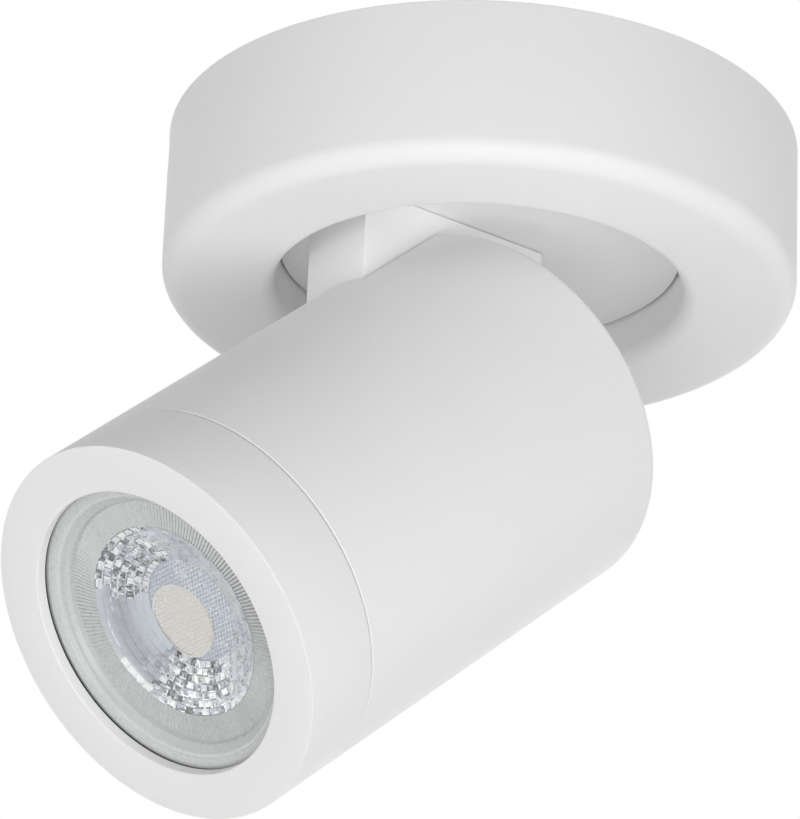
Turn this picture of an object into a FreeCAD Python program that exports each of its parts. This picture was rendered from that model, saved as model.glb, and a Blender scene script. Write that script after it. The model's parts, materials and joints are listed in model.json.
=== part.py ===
import FreeCAD, Part
import math
import os

# A surface mounted ceiling spotlight, in millimetres.
# The origin is the middle of the base's face on the ceiling and +Z goes up into the ceiling.
# The lamp head points to -Y and down, and its tilt hinge lies along X.

# ---- driving dimensions -----------------------------------------------------------------
base_radius = 50.0
base_height = 26.3
base_edge_round = 3.5
base_wall = 2.0
recess_radius = 32.1
recess_lip_round = 2.4
recess_depth = 11.5
recess_floor = 2.0

disc_thickness = 3.0
disc_side_gap = 0.35
disc_face_depth = 7.7
disc_edge_break = 0.4
groove_inset = 4.1
groove_width = 3.8
groove_depth = 1.8
stop_pin_radius = 1.5
swivel_limit = 170.0

bolt_radius = 5.0
bolt_bore_radius = 3.3
bolt_in_arm = 8.0
running_gap = 0.06
thrust_gap = 0.05
moving_gap = 0.3

arm_width = 14.68
arm_front_inset = 4.2
arm_rear = 6.9
arm_front_bottom = 12.5
arm_edge_round = 1.6
pivot_drop = 48.4
pivot_boss_radius = 6.7
pivot_screw_radius = 2.5

head_length = 83.4
head_tilt = 41.2
head_wall = 2.0
head_rear_round = 1.3
pivot_to_rear = 7.0
bezel_length = 13.8
bezel_seam_gap = 0.2
bezel_lip = 1.8
bezel_edge_break = 0.4
bezel_overlap = 2.3
spigot_wall = 2.0
spigot_step = 2.0
spigot_length = 8.0
spigot_step_start = 5.0
spigot_step_end = 7.0
gasket_thickness = 0.35

lamp_radius = 25.0
lamp_room = 1.0
lamp_length = 46.9
lamp_pin_spacing = 10.0
lamp_pin_neck_radius = 1.5
lamp_pin_head_radius = 2.5
lamp_twist = 22.0
holder_radius = 12.5
holder_length = 14.0
holder_edge_break = 0.8
strap_thickness = 1.5
strap_width = 21.0

bracket_angle = 55.6
bracket_width = 18.0
bracket_thickness = 1.5
small_screw_radius = 1.5
small_head_radius = 2.75
small_head_height = 1.8
fixing_circle = 60.0
fixing_hole_radius = 2.5
cover_screw_depth = 4.2
cable_hole_radius = 5.0
cable_hole_place = 16.0

up = FreeCAD.Vector(0, 0, 1)
across = FreeCAD.Vector(1, 0, 0)
centre = FreeCAD.Vector(0, 0, 0)

# ---- sizes that follow from them ------------------------------------------------------
base_bottom = -base_height
disc_bottom = base_bottom + disc_face_depth
disc_top = disc_bottom + disc_thickness
floor_bottom = base_bottom + recess_depth
floor_top = floor_bottom + recess_floor
disc_radius = recess_radius - disc_side_gap
groove_radius = recess_radius - groove_inset
arm_front = arm_front_inset - recess_radius
aperture_radius = lamp_radius - bezel_overlap
spigot_bore_radius = lamp_radius + lamp_room
spigot_radius = spigot_bore_radius + spigot_wall
head_radius = spigot_radius + spigot_step
head_inside = head_radius - head_wall
pivot_z = -pivot_drop
head_front = head_length - pivot_to_rear
seam_at = head_front - bezel_length
lamp_front = head_front - bezel_lip - gasket_thickness - 0.05
lamp_rear = lamp_front - lamp_length
holder_front = lamp_rear - moving_gap
holder_rear = holder_front - holder_length
strap_rear = holder_rear - strap_thickness
bracket_plate_near = arm_width / 2 + 0.56
bracket_plate = 2.0
bracket_plate_far = bracket_plate_near + bracket_plate
pad_height = 2.5
foot_rear = pivot_to_rear - head_wall - pad_height
pivot_room = pivot_to_rear - head_wall - 0.3


# ---- helpers ----------------------------------------------------------------------------
def drum(radius, low, high, x=0.0, y=0.0):
    return Part.makeCylinder(radius, high - low, FreeCAD.Vector(x, y, low))


def ring(outer, inner, low, high, x=0.0, y=0.0):
    return drum(outer, low, high, x, y).cut(drum(inner, low - 1, high + 1, x, y))


def rod_along_x(radius, left, right, y=0.0, z=0.0):
    return Part.makeCylinder(radius, right - left, FreeCAD.Vector(left, y, z), across)


def block(x0, x1, y0, y1, z0, z1):
    return Part.makeBox(x1 - x0, y1 - y0, z1 - z0, FreeCAD.Vector(x0, y0, z0))


def cone(radius_low, radius_high, low, high, x=0.0, y=0.0):
    return Part.makeCone(radius_low, radius_high, high - low, FreeCAD.Vector(x, y, low))


def corner_arc(before, here, after, size):
    # Where a rounded corner starts, its middle point and where it ends.
    towards = (before - here).normalize()
    onwards = (after - here).normalize()
    half = towards.getAngle(onwards) / 2
    middle = (towards + onwards).normalize() * (size / math.sin(half) - size)
    return here + towards * (size / math.tan(half)), here + middle, here + onwards * (size / math.tan(half))


def outline(corners, place):
    # A closed face from corners (across, height, rounding), put in space by the function place.
    points = [place(corner[0], corner[1]) for corner in corners]
    edges = []
    last = None
    first = None
    for i, corner in enumerate(corners):
        here = points[i]
        enter, leave = here, here
        if corner[2] > 0:
            enter, middle, leave = corner_arc(points[i - 1], here, points[(i + 1) % len(points)], corner[2])
        if last is not None and last.distanceToPoint(enter) > 1e-6:
            edges.append(Part.LineSegment(last, enter).toShape())
        if corner[2] > 0:
            edges.append(Part.Arc(enter, middle, leave).toShape())
        if first is None:
            first = enter
        last = leave
    edges.append(Part.LineSegment(last, first).toShape())
    return Part.Face(Part.Wire(edges))


def turned_shape(corners):
    # A half section given as (radius, height, rounding), turned about Z.
    return outline(corners, lambda r, z: FreeCAD.Vector(r, 0, z)).revolve(centre, up, 360)


def broken_edge(radius, height, size):
    # Two corners of a half section that break the sharp lower edge of a drum.
    return [(radius - size, height, 0), (radius, height + size, 0)]


def nut(across_flats, hole, low, high):
    corner = across_flats / math.sqrt(3)
    points = [polar(corner, 60 * i, low) for i in range(6)]
    body = Part.Face(Part.makePolygon(points + points[:1])).extrude(up * (high - low))
    return body.cut(drum(hole, low - 1, high + 1))


def polar(radius, degrees, z=0.0):
    turn = math.radians(degrees)
    return FreeCAD.Vector(radius * math.cos(turn), radius * math.sin(turn), z)


def plate_yz(points, left, right):
    # A plate across X whose outline is given as (y, z) corners.
    corners = [(y, z, 0) for y, z in points]
    face = outline(corners, lambda y, z: FreeCAD.Vector(left, y, z))
    return face.extrude(across * (right - left))


def round_edges(shape, size, wanted):
    edges = [edge for edge in shape.Edges if wanted(edge)]
    return shape.makeFillet(size, edges)


def sector(outer, inner, low, high, start, end):
    # A part of a ring between two angles, each under half a turn apart.
    body = ring(outer, inner, low, high)
    reach = outer * 3
    points = [centre, polar(reach, start), polar(reach, (start + end) / 2), polar(reach, end), centre]
    wedge = Part.Face(Part.makePolygon(points)).extrude(up * (high - low + 2))
    wedge.translate(up * (low - 1))
    return body.common(wedge)


def turned(shape, degrees):
    copy = shape.copy()
    copy.rotate(centre, up, degrees)
    return copy


def as_head(shape):
    # Head pieces are drawn with the head hanging straight down from a pivot at the origin:
    # the front is at -Z and the top side at -Y. This lifts them to the tilt at rest.
    copy = shape.copy()
    copy.rotate(centre, across, -(90 - head_tilt))
    copy.translate(up * pivot_z)
    return copy


def along(near, far):
    # Distances in front of the pivot, as heights in the hanging pose.
    return -far, -near


def group(shapes):
    return Part.makeCompound(shapes)


def save(name, shape):
    for solid in shape.Solids:
        if not solid.isValid():
            raise ValueError(name + " has a faulty solid")
    shape.exportStep("parts/" + name + ".step")
    print(name, len(shape.Solids), "solids", round(shape.Volume), "mm3")


# ---- base: cover, bracket and wiring ----------------------------------------------------
cover_screw_radius = 2.0
cover_screw_hole = 2.1
cover_screw_head = 2.75
cover_seat_depth = 1.1
cover_inner_break = 1.2
ear_side_gap = 0.8
ear_outside = base_radius - base_wall - ear_side_gap
ear_half_width = 5.0
ear_height = 9.0
earth_inset = 7.1
earth_place = recess_radius - earth_inset
earth_screw_radius = 2.0
earth_head_radius = 3.6
earth_head_height = 2.5
earth_washer_radius = 4.5
earth_washer_thickness = 1.1


def base_cover():
    inside = base_radius - base_wall
    plate_top = base_bottom + base_wall
    collar = recess_radius + base_wall
    bore = bolt_radius + running_gap
    shell = turned_shape([
        (base_radius, 0, 0),
        (base_radius, base_bottom, base_edge_round),
        (recess_radius, base_bottom, recess_lip_round),
        (recess_radius, floor_bottom, 0),
        (bore, floor_bottom, 0),
        (bore, floor_top, 0),
        (collar, floor_top, 0),
        (collar, plate_top, 0),
        (inside - cover_inner_break, plate_top, 0),
        (inside, plate_top + cover_inner_break, 0),
        (inside, 0, 0),
    ])
    shell = shell.cut(drum(stop_pin_radius, floor_bottom - 1, floor_top + 1, 0, groove_radius))
    earth_hole = drum(earth_screw_radius, floor_bottom - 1, floor_top + 1, earth_place)
    shell = shell.cut(turned(earth_hole, bracket_angle - 90))
    for x in (-terminal_screw_x, terminal_screw_x):
        hole = drum(terminal_screw_radius, floor_bottom - 1, floor_top + 1, x, terminal_y)
        shell = shell.cut(turned(hole, bracket_angle))
    for side in (0, 180):
        shell = shell.cut(turned(cover_screw_seat(), bracket_angle + side))
    return shell


def cover_screw_seat():
    past_wall = base_radius + 1
    hole = rod_along_x(cover_screw_hole, base_radius - 10, past_wall, 0, -cover_screw_depth)
    seat_bottom = base_radius - cover_seat_depth
    seat = rod_along_x(cover_screw_head + 0.25, seat_bottom, past_wall, 0, -cover_screw_depth)
    return hole.fuse(seat)


def cover_screw():
    head_far = base_radius - 0.15
    head = rod_along_x(cover_screw_head, base_radius - cover_seat_depth, head_far, 0, -cover_screw_depth)
    shank = rod_along_x(cover_screw_radius, ear_outside - 5, base_radius - 1, 0, -cover_screw_depth)
    return head.fuse(shank)


def mounting_bracket():
    half = bracket_width / 2
    strip = block(-ear_outside, ear_outside, -half, half, -bracket_thickness, 0)
    strip = strip.common(drum(ear_outside + 0.4, -bracket_thickness, 0))
    for side in (-1, 1):
        far = side * ear_outside
        near = side * (ear_outside - bracket_thickness)
        left, right = min(near, far), max(near, far)
        strip = strip.fuse(block(left, right, -ear_half_width, ear_half_width, -ear_height, 0))
        strip = strip.cut(rod_along_x(cover_screw_radius, left - 1, right + 1, 0, -cover_screw_depth))
        strip = strip.cut(drum(fixing_hole_radius, -3, 1, side * fixing_circle / 2))
    strip = strip.cut(drum(cable_hole_radius, -3, 1, cable_hole_place, 0))
    return turned(strip.removeSplitter(), bracket_angle)


terminal_inset = 7.6
terminal_y = recess_radius - terminal_inset
terminal_screw_x = 4.2
terminal_pitch = 8.4
terminal_height = 9.5
terminal_depth = 15.0
terminal_screw_radius = 1.25
terminal_screw_well = 1.6
terminal_screw_length = 3.6
terminal_screw_y = 3.5
fixing_head_radius = 2.2
fixing_head_height = 1.4
clamp_half = 2.6
clamp_length = 12.0
clamp_rise = 2.0
wire_way_half = 1.7


def terminal_positions():
    return [(i - 1) * terminal_pitch for i in range(3)]


def terminal_block():
    wide = terminal_pitch * 3
    low = floor_top
    body = block(-wide / 2, wide / 2, terminal_y - terminal_depth / 2, terminal_y + terminal_depth / 2,
                 low, low + terminal_height)
    for x in terminal_positions():
        reach = terminal_depth / 2 + 1
        clamp_low = low + clamp_rise
        bore = block(x - clamp_half, x + clamp_half, terminal_y - reach, terminal_y + reach,
                     clamp_low, clamp_low + 2 * clamp_half)
        body = body.cut(bore)
        for y in (-terminal_screw_y, terminal_screw_y):
            well = drum(terminal_screw_well, clamp_low + 1, low + terminal_height + 1, x, terminal_y + y)
            body = body.cut(well)
    for x in (-terminal_screw_x, terminal_screw_x):
        body = body.cut(drum(terminal_screw_radius, low - 1, low + terminal_height + 1, x, terminal_y))
    return turned(body, bracket_angle)


def terminal_clamps():
    clamps = []
    for x in terminal_positions():
        low = floor_top + clamp_rise
        reach = clamp_length / 2
        wall = clamp_half - wire_way_half
        clamp = block(x - clamp_half, x + clamp_half, terminal_y - reach, terminal_y + reach,
                      low, low + 2 * clamp_half)
        hollow = block(x - wire_way_half, x + wire_way_half, terminal_y - reach - 1, terminal_y + reach + 1,
                       low + wall, low + wall + 2 * wire_way_half)
        clamp = clamp.cut(hollow)
        for y in (-terminal_screw_y, terminal_screw_y):
            clamp = clamp.cut(drum(terminal_screw_radius, low + 4, low + 6, x, terminal_y + y))
        clamps.append(turned(clamp, bracket_angle))
    return group(clamps)


def terminal_screws():
    screws = []
    for x in terminal_positions():
        for y in (-terminal_screw_y, terminal_screw_y):
            low = floor_top + clamp_rise + 2 * wire_way_half - 0.2
            screw = drum(terminal_screw_radius, low, low + terminal_screw_length, x, terminal_y + y)
            screws.append(turned(screw, bracket_angle))
    return group(screws)


def terminal_fixing_screws():
    screws = []
    for x in (-terminal_screw_x, terminal_screw_x):
        top = floor_top + terminal_height
        shank = drum(terminal_screw_radius, floor_bottom + 0.4, top + 0.1, x, terminal_y)
        head = drum(fixing_head_radius, top, top + fixing_head_height, x, terminal_y)
        screws.append(turned(shank.fuse(head), bracket_angle))
    return group(screws)


def earth_screw():
    head_low = floor_top + earth_washer_thickness
    shank = drum(earth_screw_radius, floor_bottom + 0.1, head_low + 0.4, earth_place)
    head = drum(earth_head_radius, head_low, head_low + earth_head_height, earth_place)
    return turned(shank.fuse(head), bracket_angle - 90)


def earth_washer():
    head_low = floor_top + earth_washer_thickness
    washer = ring(earth_washer_radius, earth_screw_radius, floor_top, head_low, earth_place)
    return turned(washer, bracket_angle - 90)


def stop_pin():
    return drum(stop_pin_radius, disc_top - groove_depth + 0.4, floor_top + 0.2, 0, groove_radius)


# ---- swivel: disc, hollow bolt and arm --------------------------------------------------
def swivel_disc():
    edge = broken_edge(disc_radius, disc_bottom, disc_edge_break)
    upper = [(disc_radius, disc_top, 0), (bolt_radius, disc_top, 0)]
    disc = turned_shape([(bolt_radius, disc_bottom, 0)] + edge + upper)
    groove = ring(groove_radius + groove_width / 2, groove_radius - groove_width / 2,
                  disc_top - groove_depth, disc_top + 1)
    pin_angle = math.degrees(math.asin((stop_pin_radius + moving_gap) / groove_radius))
    web_angle = 180 - swivel_limit - pin_angle
    web = sector(groove_radius + groove_width, groove_radius - groove_width,
                 disc_top - groove_depth - 1, disc_top + 2, 270 - web_angle, 270 + web_angle)
    disc = disc.cut(groove.cut(web))
    for y in arm_screw_places:
        disc = disc.cut(arm_screw_at(y))
    return disc


arm_screw_places = (-12.5, -21.5)
arm_screw_radius = 2.0
arm_screw_head = 3.9
arm_screw_length = 6.0
arm_screw_sunk = 0.1
friction_washer_inset = 6.0
friction_washer_radius = groove_radius - friction_washer_inset
friction_washer_hole = 9.0
swivel_washer_radius = 10.5
swivel_washer_thickness = 1.0
swivel_spring_radius = 8.0
swivel_spring_thickness = 1.6
spring_split = 0.6
swivel_nut_flats = 14.0
swivel_nut_height = 4.0
bolt_above_floor = 8.2
washer_play = 0.1


def arm_screw_at(y):
    top = disc_top - arm_screw_sunk
    head = cone(arm_screw_radius, arm_screw_head, top - (arm_screw_head - arm_screw_radius), top, 0, y)
    shank = drum(arm_screw_radius, disc_bottom - arm_screw_length, top, 0, y)
    rim = drum(arm_screw_head, top, disc_top + 0.5, 0, y)
    return head.fuse(shank).fuse(rim)


def arm_screws():
    trim = drum(disc_radius, disc_top - arm_screw_sunk, disc_top + 2)
    return group([arm_screw_at(y).cut(trim) for y in arm_screw_places])


def hollow_bolt():
    return ring(bolt_radius, bolt_bore_radius, disc_bottom - bolt_in_arm, floor_top + bolt_above_floor)


def friction_washer():
    return ring(friction_washer_radius, friction_washer_hole, disc_top, floor_bottom - thrust_gap)


def swivel_washer():
    low = floor_top + thrust_gap
    return ring(swivel_washer_radius, bolt_radius + washer_play, low, low + swivel_washer_thickness)


def swivel_spring_washer():
    low = floor_top + thrust_gap + swivel_washer_thickness
    high = low + swivel_spring_thickness
    washer = ring(swivel_spring_radius, bolt_radius + washer_play, low, high)
    return washer.cut(block(0, swivel_spring_radius + 1, -spring_split, spring_split, low - 1, high + 1))


def swivel_nut():
    low = floor_top + thrust_gap + swivel_washer_thickness + swivel_spring_thickness
    return nut(swivel_nut_flats, bolt_radius, low, low + swivel_nut_height)


arm_underside = (-15.5, 4.6)
arm_boss_start = 236.0
arm_boss_middle = 298.0
arm_rear_foot = 1.5
arm_front_round = 0.4
lead_hole_radius = 2.9
lead_hole_slope = 1.12
lead_hole_length = 34.0


def tilt_arm():
    half = arm_width / 2
    top = disc_bottom - pivot_z

    def side_point(y, z):
        return FreeCAD.Vector(-half, y, z)

    boss_low = polar(pivot_boss_radius, arm_boss_start)
    boss_middle = polar(pivot_boss_radius, arm_boss_middle)
    start = side_point(arm_front, arm_front_bottom)
    end = side_point(boss_low.x, boss_low.y)
    boss_end = side_point(pivot_boss_radius, 0)
    under = Part.Arc(start, side_point(*arm_underside), end).toShape()
    boss = Part.Arc(end, side_point(boss_middle.x, boss_middle.y), boss_end).toShape()
    rest = Part.makePolygon([boss_end, side_point(arm_rear, arm_rear_foot), side_point(arm_rear, top),
                             side_point(arm_front, top), start])
    side = Part.Wire([under, boss] + rest.Edges)
    arm = Part.Face(side).extrude(across * arm_width)
    arm = round_edges(arm, arm_edge_round, is_upright(arm_rear))
    arm = round_edges(arm, arm_front_round, is_upright(arm_front))
    arm = arm.cut(rod_along_x(pivot_screw_radius + running_gap, -half - 1, half + 1))
    arm.translate(up * pivot_z)
    arm = arm.cut(drum(bolt_radius, disc_bottom - bolt_in_arm, disc_bottom + 1))
    arm = arm.cut(wire_way())
    for y in arm_screw_places:
        arm = arm.cut(drum(arm_screw_radius, disc_bottom - arm_screw_length - 1.5, disc_bottom + 1, 0, y))
    return arm


def is_upright(y):
    def wanted(edge):
        if not isinstance(edge.Curve, Part.Line):
            return False
        first, last = edge.Vertexes[0].Point, edge.Vertexes[-1].Point
        same_place = abs(first.y - y) < 0.01 and abs(last.y - y) < 0.01 and abs(first.x - last.x) < 0.01
        return same_place and abs(first.z - last.z) > 5
    return wanted


def wire_way():
    # The leads leave the bolt's bore through a slanted hole to the inside of the head.
    start = FreeCAD.Vector(0, 2.0, disc_bottom - bolt_in_arm + 2.5)
    return Part.makeCylinder(lead_hole_radius, lead_hole_length, start, FreeCAD.Vector(0, -1, -lead_hole_slope))


# ---- head: can, pivot and lampholder ----------------------------------------------------
lug_near = 3.0
lug_width = 6.5
lug_inner = head_inside - lug_width
foot_side_gap = 8.5
foot_screw_inset = 4.5
bracket_foot_x = head_inside - foot_side_gap
foot_screw_x = bracket_foot_x - foot_screw_inset
foot_screw_v = 10.5
foot_screw_end = pivot_to_rear - 1.0
pad_inner_v = 6.5
pad_outer_v = 14.5
eye_radius = 6.5
eye_reach = 7.0
plate_end = 2.0
pivot_head_radius = 4.25
pivot_head_height = 2.7
pivot_spring_radius = 4.6
pivot_spring_thickness = 1.0
pivot_nut_flats = 8.0
pivot_nut_height = 4.8
pivot_screw_past_nut = 0.8


def head_can():
    seam = -seam_at
    spigot_end = seam - spigot_length
    rear_inside = pivot_to_rear - head_wall
    can = turned_shape([
        (0, pivot_to_rear, 0),
        (head_radius, pivot_to_rear, head_rear_round),
        (head_radius, seam, 0),
        (spigot_radius, seam, 0),
        (spigot_radius, spigot_end, 0),
        (spigot_bore_radius, spigot_end, 0),
        (spigot_bore_radius, seam + spigot_step_start, 0),
        (head_inside, seam + spigot_step_end, 0),
        (head_inside, rear_inside, 0),
        (0, rear_inside, 0),
    ])
    can = can.fuse(inside_lugs())
    can = can.cut(arm_slot())
    for x in (-1, 1):
        lug_hole = drum(small_screw_radius, -strap_rear - 1, -lug_near - 1.5, x * strap_screw_x)
        can = can.cut(lug_hole)
        for v in (-1, 1):
            hole = drum(small_screw_radius, foot_rear - 1, foot_screw_end, x * foot_screw_x, v * foot_screw_v)
            can = can.cut(hole)
    return can


def inside_lugs():
    lugs = []
    for x in (-1, 1):
        inner, outer = x * lug_inner, x * (head_radius - 0.5)
        low, high = along(lug_near, strap_rear)
        lug = block(min(inner, outer), max(inner, outer), -strap_width / 2 + 3, strap_width / 2 - 3, low, high)
        lugs.append(lug.common(drum(head_radius - 0.5, low, high)))
        for v in (-1, 1):
            pad_x = sorted((x * (bracket_plate_far + 1), x * (bracket_foot_x + 0.5)))
            pad_y = sorted((v * pad_inner_v, v * pad_outer_v))
            pad = block(pad_x[0], pad_x[1], pad_y[0], pad_y[1], foot_rear, pivot_to_rear - 0.5)
            lugs.append(pad)
    joined = lugs[0]
    for lug in lugs[1:]:
        joined = joined.fuse(lug)
    return joined


def arm_slot():
    # Open to the rear; its front end lies along the arm's front face when the head is at rest.
    half = arm_width / 2 + moving_gap
    end = -arm_front + moving_gap
    tilt = math.radians(head_tilt)

    def front_end(v):
        return (end - v * math.sin(tilt)) / math.cos(tilt)

    inside = head_radius - 4
    outside = head_radius + 1
    rear_inside = pivot_to_rear - head_wall - 0.1
    bottom = pivot_boss_radius + 0.5
    points = [(bottom, pivot_to_rear + 1), (bottom, rear_inside), (-inside, rear_inside),
              (-inside, -front_end(inside)), (-outside, -front_end(outside)), (-outside, pivot_to_rear + 1)]
    return plate_yz(points, -half, half)


def pivot_bracket(side):
    near, far = side * bracket_plate_near, side * bracket_plate_far
    left, right = min(near, far), max(near, far)
    plate = block(left, right, -pad_outer_v, pad_outer_v, -plate_end, foot_rear)
    eye = rod_along_x(eye_radius, left, right)
    plate = plate.fuse(eye.common(block(left, right, -eye_reach, eye_reach, -eye_reach, pivot_room)))
    foot_x = sorted((near, side * bracket_foot_x))
    for v in (-1, 1):
        foot_y = sorted((v * pad_inner_v, v * pad_outer_v))
        foot = block(foot_x[0], foot_x[1], foot_y[0], foot_y[1], foot_rear - bracket_plate, foot_rear)
        hole = drum(small_screw_radius, foot_rear - 4, foot_rear + 1, side * foot_screw_x, v * foot_screw_v)
        foot = foot.cut(hole)
        plate = plate.fuse(foot)
    plate = plate.removeSplitter()
    return plate.cut(rod_along_x(pivot_screw_radius, left - 1, right + 1))


def bracket_screws():
    screws = []
    top = foot_rear - bracket_plate
    for x in (-1, 1):
        for v in (-1, 1):
            place = (x * foot_screw_x, v * foot_screw_v)
            shank = drum(small_screw_radius, top - 0.5, foot_screw_end, place[0], place[1])
            head = drum(small_head_radius, top - small_head_height, top, place[0], place[1])
            screws.append(shank.fuse(head))
    return group(screws)


def pivot_screw():
    head = rod_along_x(pivot_head_radius, bracket_plate_far, bracket_plate_far + pivot_head_height)
    end = bracket_plate_far + pivot_spring_thickness + pivot_nut_height + pivot_screw_past_nut
    shank = rod_along_x(pivot_screw_radius, -end, bracket_plate_far + 0.5)
    return head.fuse(shank)


def pivot_friction_washers():
    washers = []
    for side in (-1, 1):
        near, far = side * (arm_width / 2 + thrust_gap), side * bracket_plate_near
        left, right = min(near, far), max(near, far)
        washer = rod_along_x(pivot_room, left, right)
        washer = washer.cut(rod_along_x(pivot_screw_radius, left - 1, right + 1))
        washers.append(washer)
    return group(washers)


def pivot_spring_washer():
    right = -bracket_plate_far
    left = right - pivot_spring_thickness
    washer = rod_along_x(pivot_spring_radius, left, right)
    return washer.cut(rod_along_x(pivot_screw_radius + washer_play, left - 1, right + 1))


def pivot_nut():
    left = -bracket_plate_far - pivot_spring_thickness - pivot_nut_height
    body = nut(pivot_nut_flats, pivot_screw_radius, left, left + pivot_nut_height)
    body.rotate(FreeCAD.Vector(0, 0, left), FreeCAD.Vector(0, 1, 0), 90)
    body.translate(FreeCAD.Vector(left, 0, -left))
    return body


strap_screw_inset = 3.7
strap_end_gap = 0.6
strap_screw_x = head_inside - strap_screw_inset
strap_half_length = head_inside - strap_end_gap
strap_hole_radius = 4.5
strap_screw_length = 5.0


def holder_strap():
    low, high = along(strap_rear, holder_rear)
    strap = block(-strap_half_length, strap_half_length, -strap_width / 2, strap_width / 2, low, high)
    strap = strap.common(drum(head_inside - 0.1, low, high))
    strap = strap.cut(drum(strap_hole_radius, low - 1, high + 1))
    for x in (-strap_screw_x, strap_screw_x):
        strap = strap.cut(drum(small_screw_radius, low - 1, high + 1, x))
    for v in (-holder_screw_v, holder_screw_v):
        strap = strap.cut(drum(small_screw_radius, low - 1, high + 1, 0, v))
    return strap


def strap_screws():
    screws = []
    front = -holder_rear
    for x in (-strap_screw_x, strap_screw_x):
        shank = drum(small_screw_radius, front - 0.5, front + strap_thickness + strap_screw_length, x)
        screws.append(drum(small_head_radius, front - small_head_height, front, x).fuse(shank))
    return group(screws)


holder_screw_v = 8.3
pin_way = lamp_pin_spacing / 2
pin_lip = 2.5
pin_pocket = 7.6
contact_thickness = 0.7
holder_screw_well = 2.9
holder_well_depth = 4.0
lead_way_radius = 1.2


def pin_slots():
    # Each slot lets the pin's head in at one end and holds it behind the lip at the other.
    cuts = []
    neck = lamp_pin_neck_radius + moving_gap
    room = lamp_pin_head_radius + moving_gap
    face = -holder_front
    for side in (0, 180):
        release = side - lamp_twist
        neck_cut = sector(pin_way + neck, pin_way - neck, face - 1, face + pin_lip + 0.1, release, side)
        neck_end = turned(drum(neck, face - 1, face + pin_lip + 0.1, pin_way), side)
        entry = turned(drum(room, face - 1, face + pin_lip + 0.1, pin_way), release)
        pocket = sector(pin_way + room, pin_way - room, face + pin_lip, face + pin_pocket, release, side)
        pocket_a = turned(drum(room, face + pin_lip, face + pin_pocket, pin_way), side)
        pocket_b = turned(drum(room, face + pin_lip, face + pin_pocket, pin_way), release)
        cuts += [neck_cut, neck_end, entry, pocket, pocket_a, pocket_b]
    joined = cuts[0]
    for cut in cuts[1:]:
        joined = joined.fuse(cut)
    return joined


def lampholder():
    low, high = along(holder_rear, holder_front)
    edge = broken_edge(holder_radius, low, holder_edge_break)
    body = turned_shape([(0, low, 0)] + edge + [(holder_radius, high, 0), (0, high, 0)])
    body = body.cut(pin_slots())
    for v in (-holder_screw_v, holder_screw_v):
        body = body.cut(drum(small_screw_radius, low - 1, high + 1, 0, v))
        body = body.cut(drum(holder_screw_well, low - 1, low + holder_well_depth, 0, v))
    for x in (-pin_way, pin_way):
        body = body.cut(drum(lead_way_radius, low + pin_pocket - 0.5, high + 1, x))
    return body


def holder_screws():
    screws = []
    low = -holder_front
    for v in (-holder_screw_v, holder_screw_v):
        well = low + holder_well_depth
        head = drum(small_head_radius, well - small_head_height, well, 0, v)
        shank = drum(small_screw_radius, well - 0.5, low + holder_length + strap_thickness + 1, 0, v)
        screws.append(head.fuse(shank))
    return group(screws)


def holder_contacts():
    contacts = []
    floor = -holder_front + pin_pocket
    reach = lamp_pin_head_radius - 0.3
    for side in (0, 180):
        plate = sector(pin_way + reach, pin_way - reach, floor - contact_thickness, floor,
                       side - lamp_twist, side)
        end = turned(drum(reach, floor - contact_thickness, floor, pin_way), side)
        contacts.append(plate.fuse(end).removeSplitter())
    return group(contacts)


# ---- bezel ring and its gasket ----------------------------------------------------------
lamp_pocket_play = 0.7
gasket_past_lamp = 0.4
gasket_past_lip = 0.3


def bezel_ring():
    front = -head_front
    rear = -seam_at - bezel_seam_gap
    shoulder = -seam_at - spigot_length - 2 * moving_gap
    thread_bore = spigot_radius + moving_gap
    lamp_pocket = lamp_radius + lamp_pocket_play
    edge = broken_edge(head_radius, front, bezel_edge_break)
    return turned_shape([(aperture_radius, front, 0)] + edge + [
        (head_radius, rear, 0),
        (thread_bore, rear, 0),
        (thread_bore, shoulder, 0),
        (lamp_pocket, shoulder, 0),
        (lamp_pocket, front + bezel_lip, 0),
        (aperture_radius, front + bezel_lip, 0),
    ])


def bezel_gasket():
    low = -head_front + bezel_lip
    return ring(lamp_radius + gasket_past_lamp, aperture_radius - gasket_past_lip, low, low + gasket_thickness)


# ---- lamp -------------------------------------------------------------------------------
lens_seat_inset = 0.9
lens_radius = lamp_radius - lens_seat_inset
lens_flange = 1.8
lens_back = 12.0
collimator_front_radius = 15.2
collimator_rear_radius = 8.5
chip_well_depth = 3.5
board_back = 14.6
board_thickness = 1.6
board_inset = 2.2
chip_radius = 6.2
chip_height = 1.2
housing_wall = 1.4
housing_rear_wall = 1.5
housing_neck = 13.5
housing_shoulder = 14.5
shoulder_length = 4.0
rim_length = 15.0
housing_round = 6.0
pin_neck_length = 3.3
pin_head_length = 2.4
pin_head_break = 0.6
pin_root = 1.5


def lamp_profile(inset, rear_at, rounding):
    # Half section of the lamp's housing, drawn in the (x, z) plane and turned about Z.
    front = -lamp_front
    rear = -rear_at
    neck, shoulder, rim = housing_neck - inset, housing_shoulder - inset, lamp_radius - inset
    return turned_shape([
        (0, front, 0),
        (rim, front, 0),
        (rim, front + rim_length, rounding),
        (shoulder, rear - shoulder_length, 0),
        (neck, rear, 0),
        (0, rear, 0),
    ])


def lamp_housing():
    outside = lamp_profile(0, lamp_rear, housing_round)
    body = outside.cut(lamp_profile(housing_wall, lamp_rear + housing_rear_wall, 0))
    front = -lamp_front
    body = body.cut(drum(lens_radius, front - 1, front + lens_flange))
    for x in (-pin_way, pin_way):
        body = body.cut(drum(lamp_pin_neck_radius, -lamp_rear - 2, -lamp_rear + 1, x))
    return body


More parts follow.
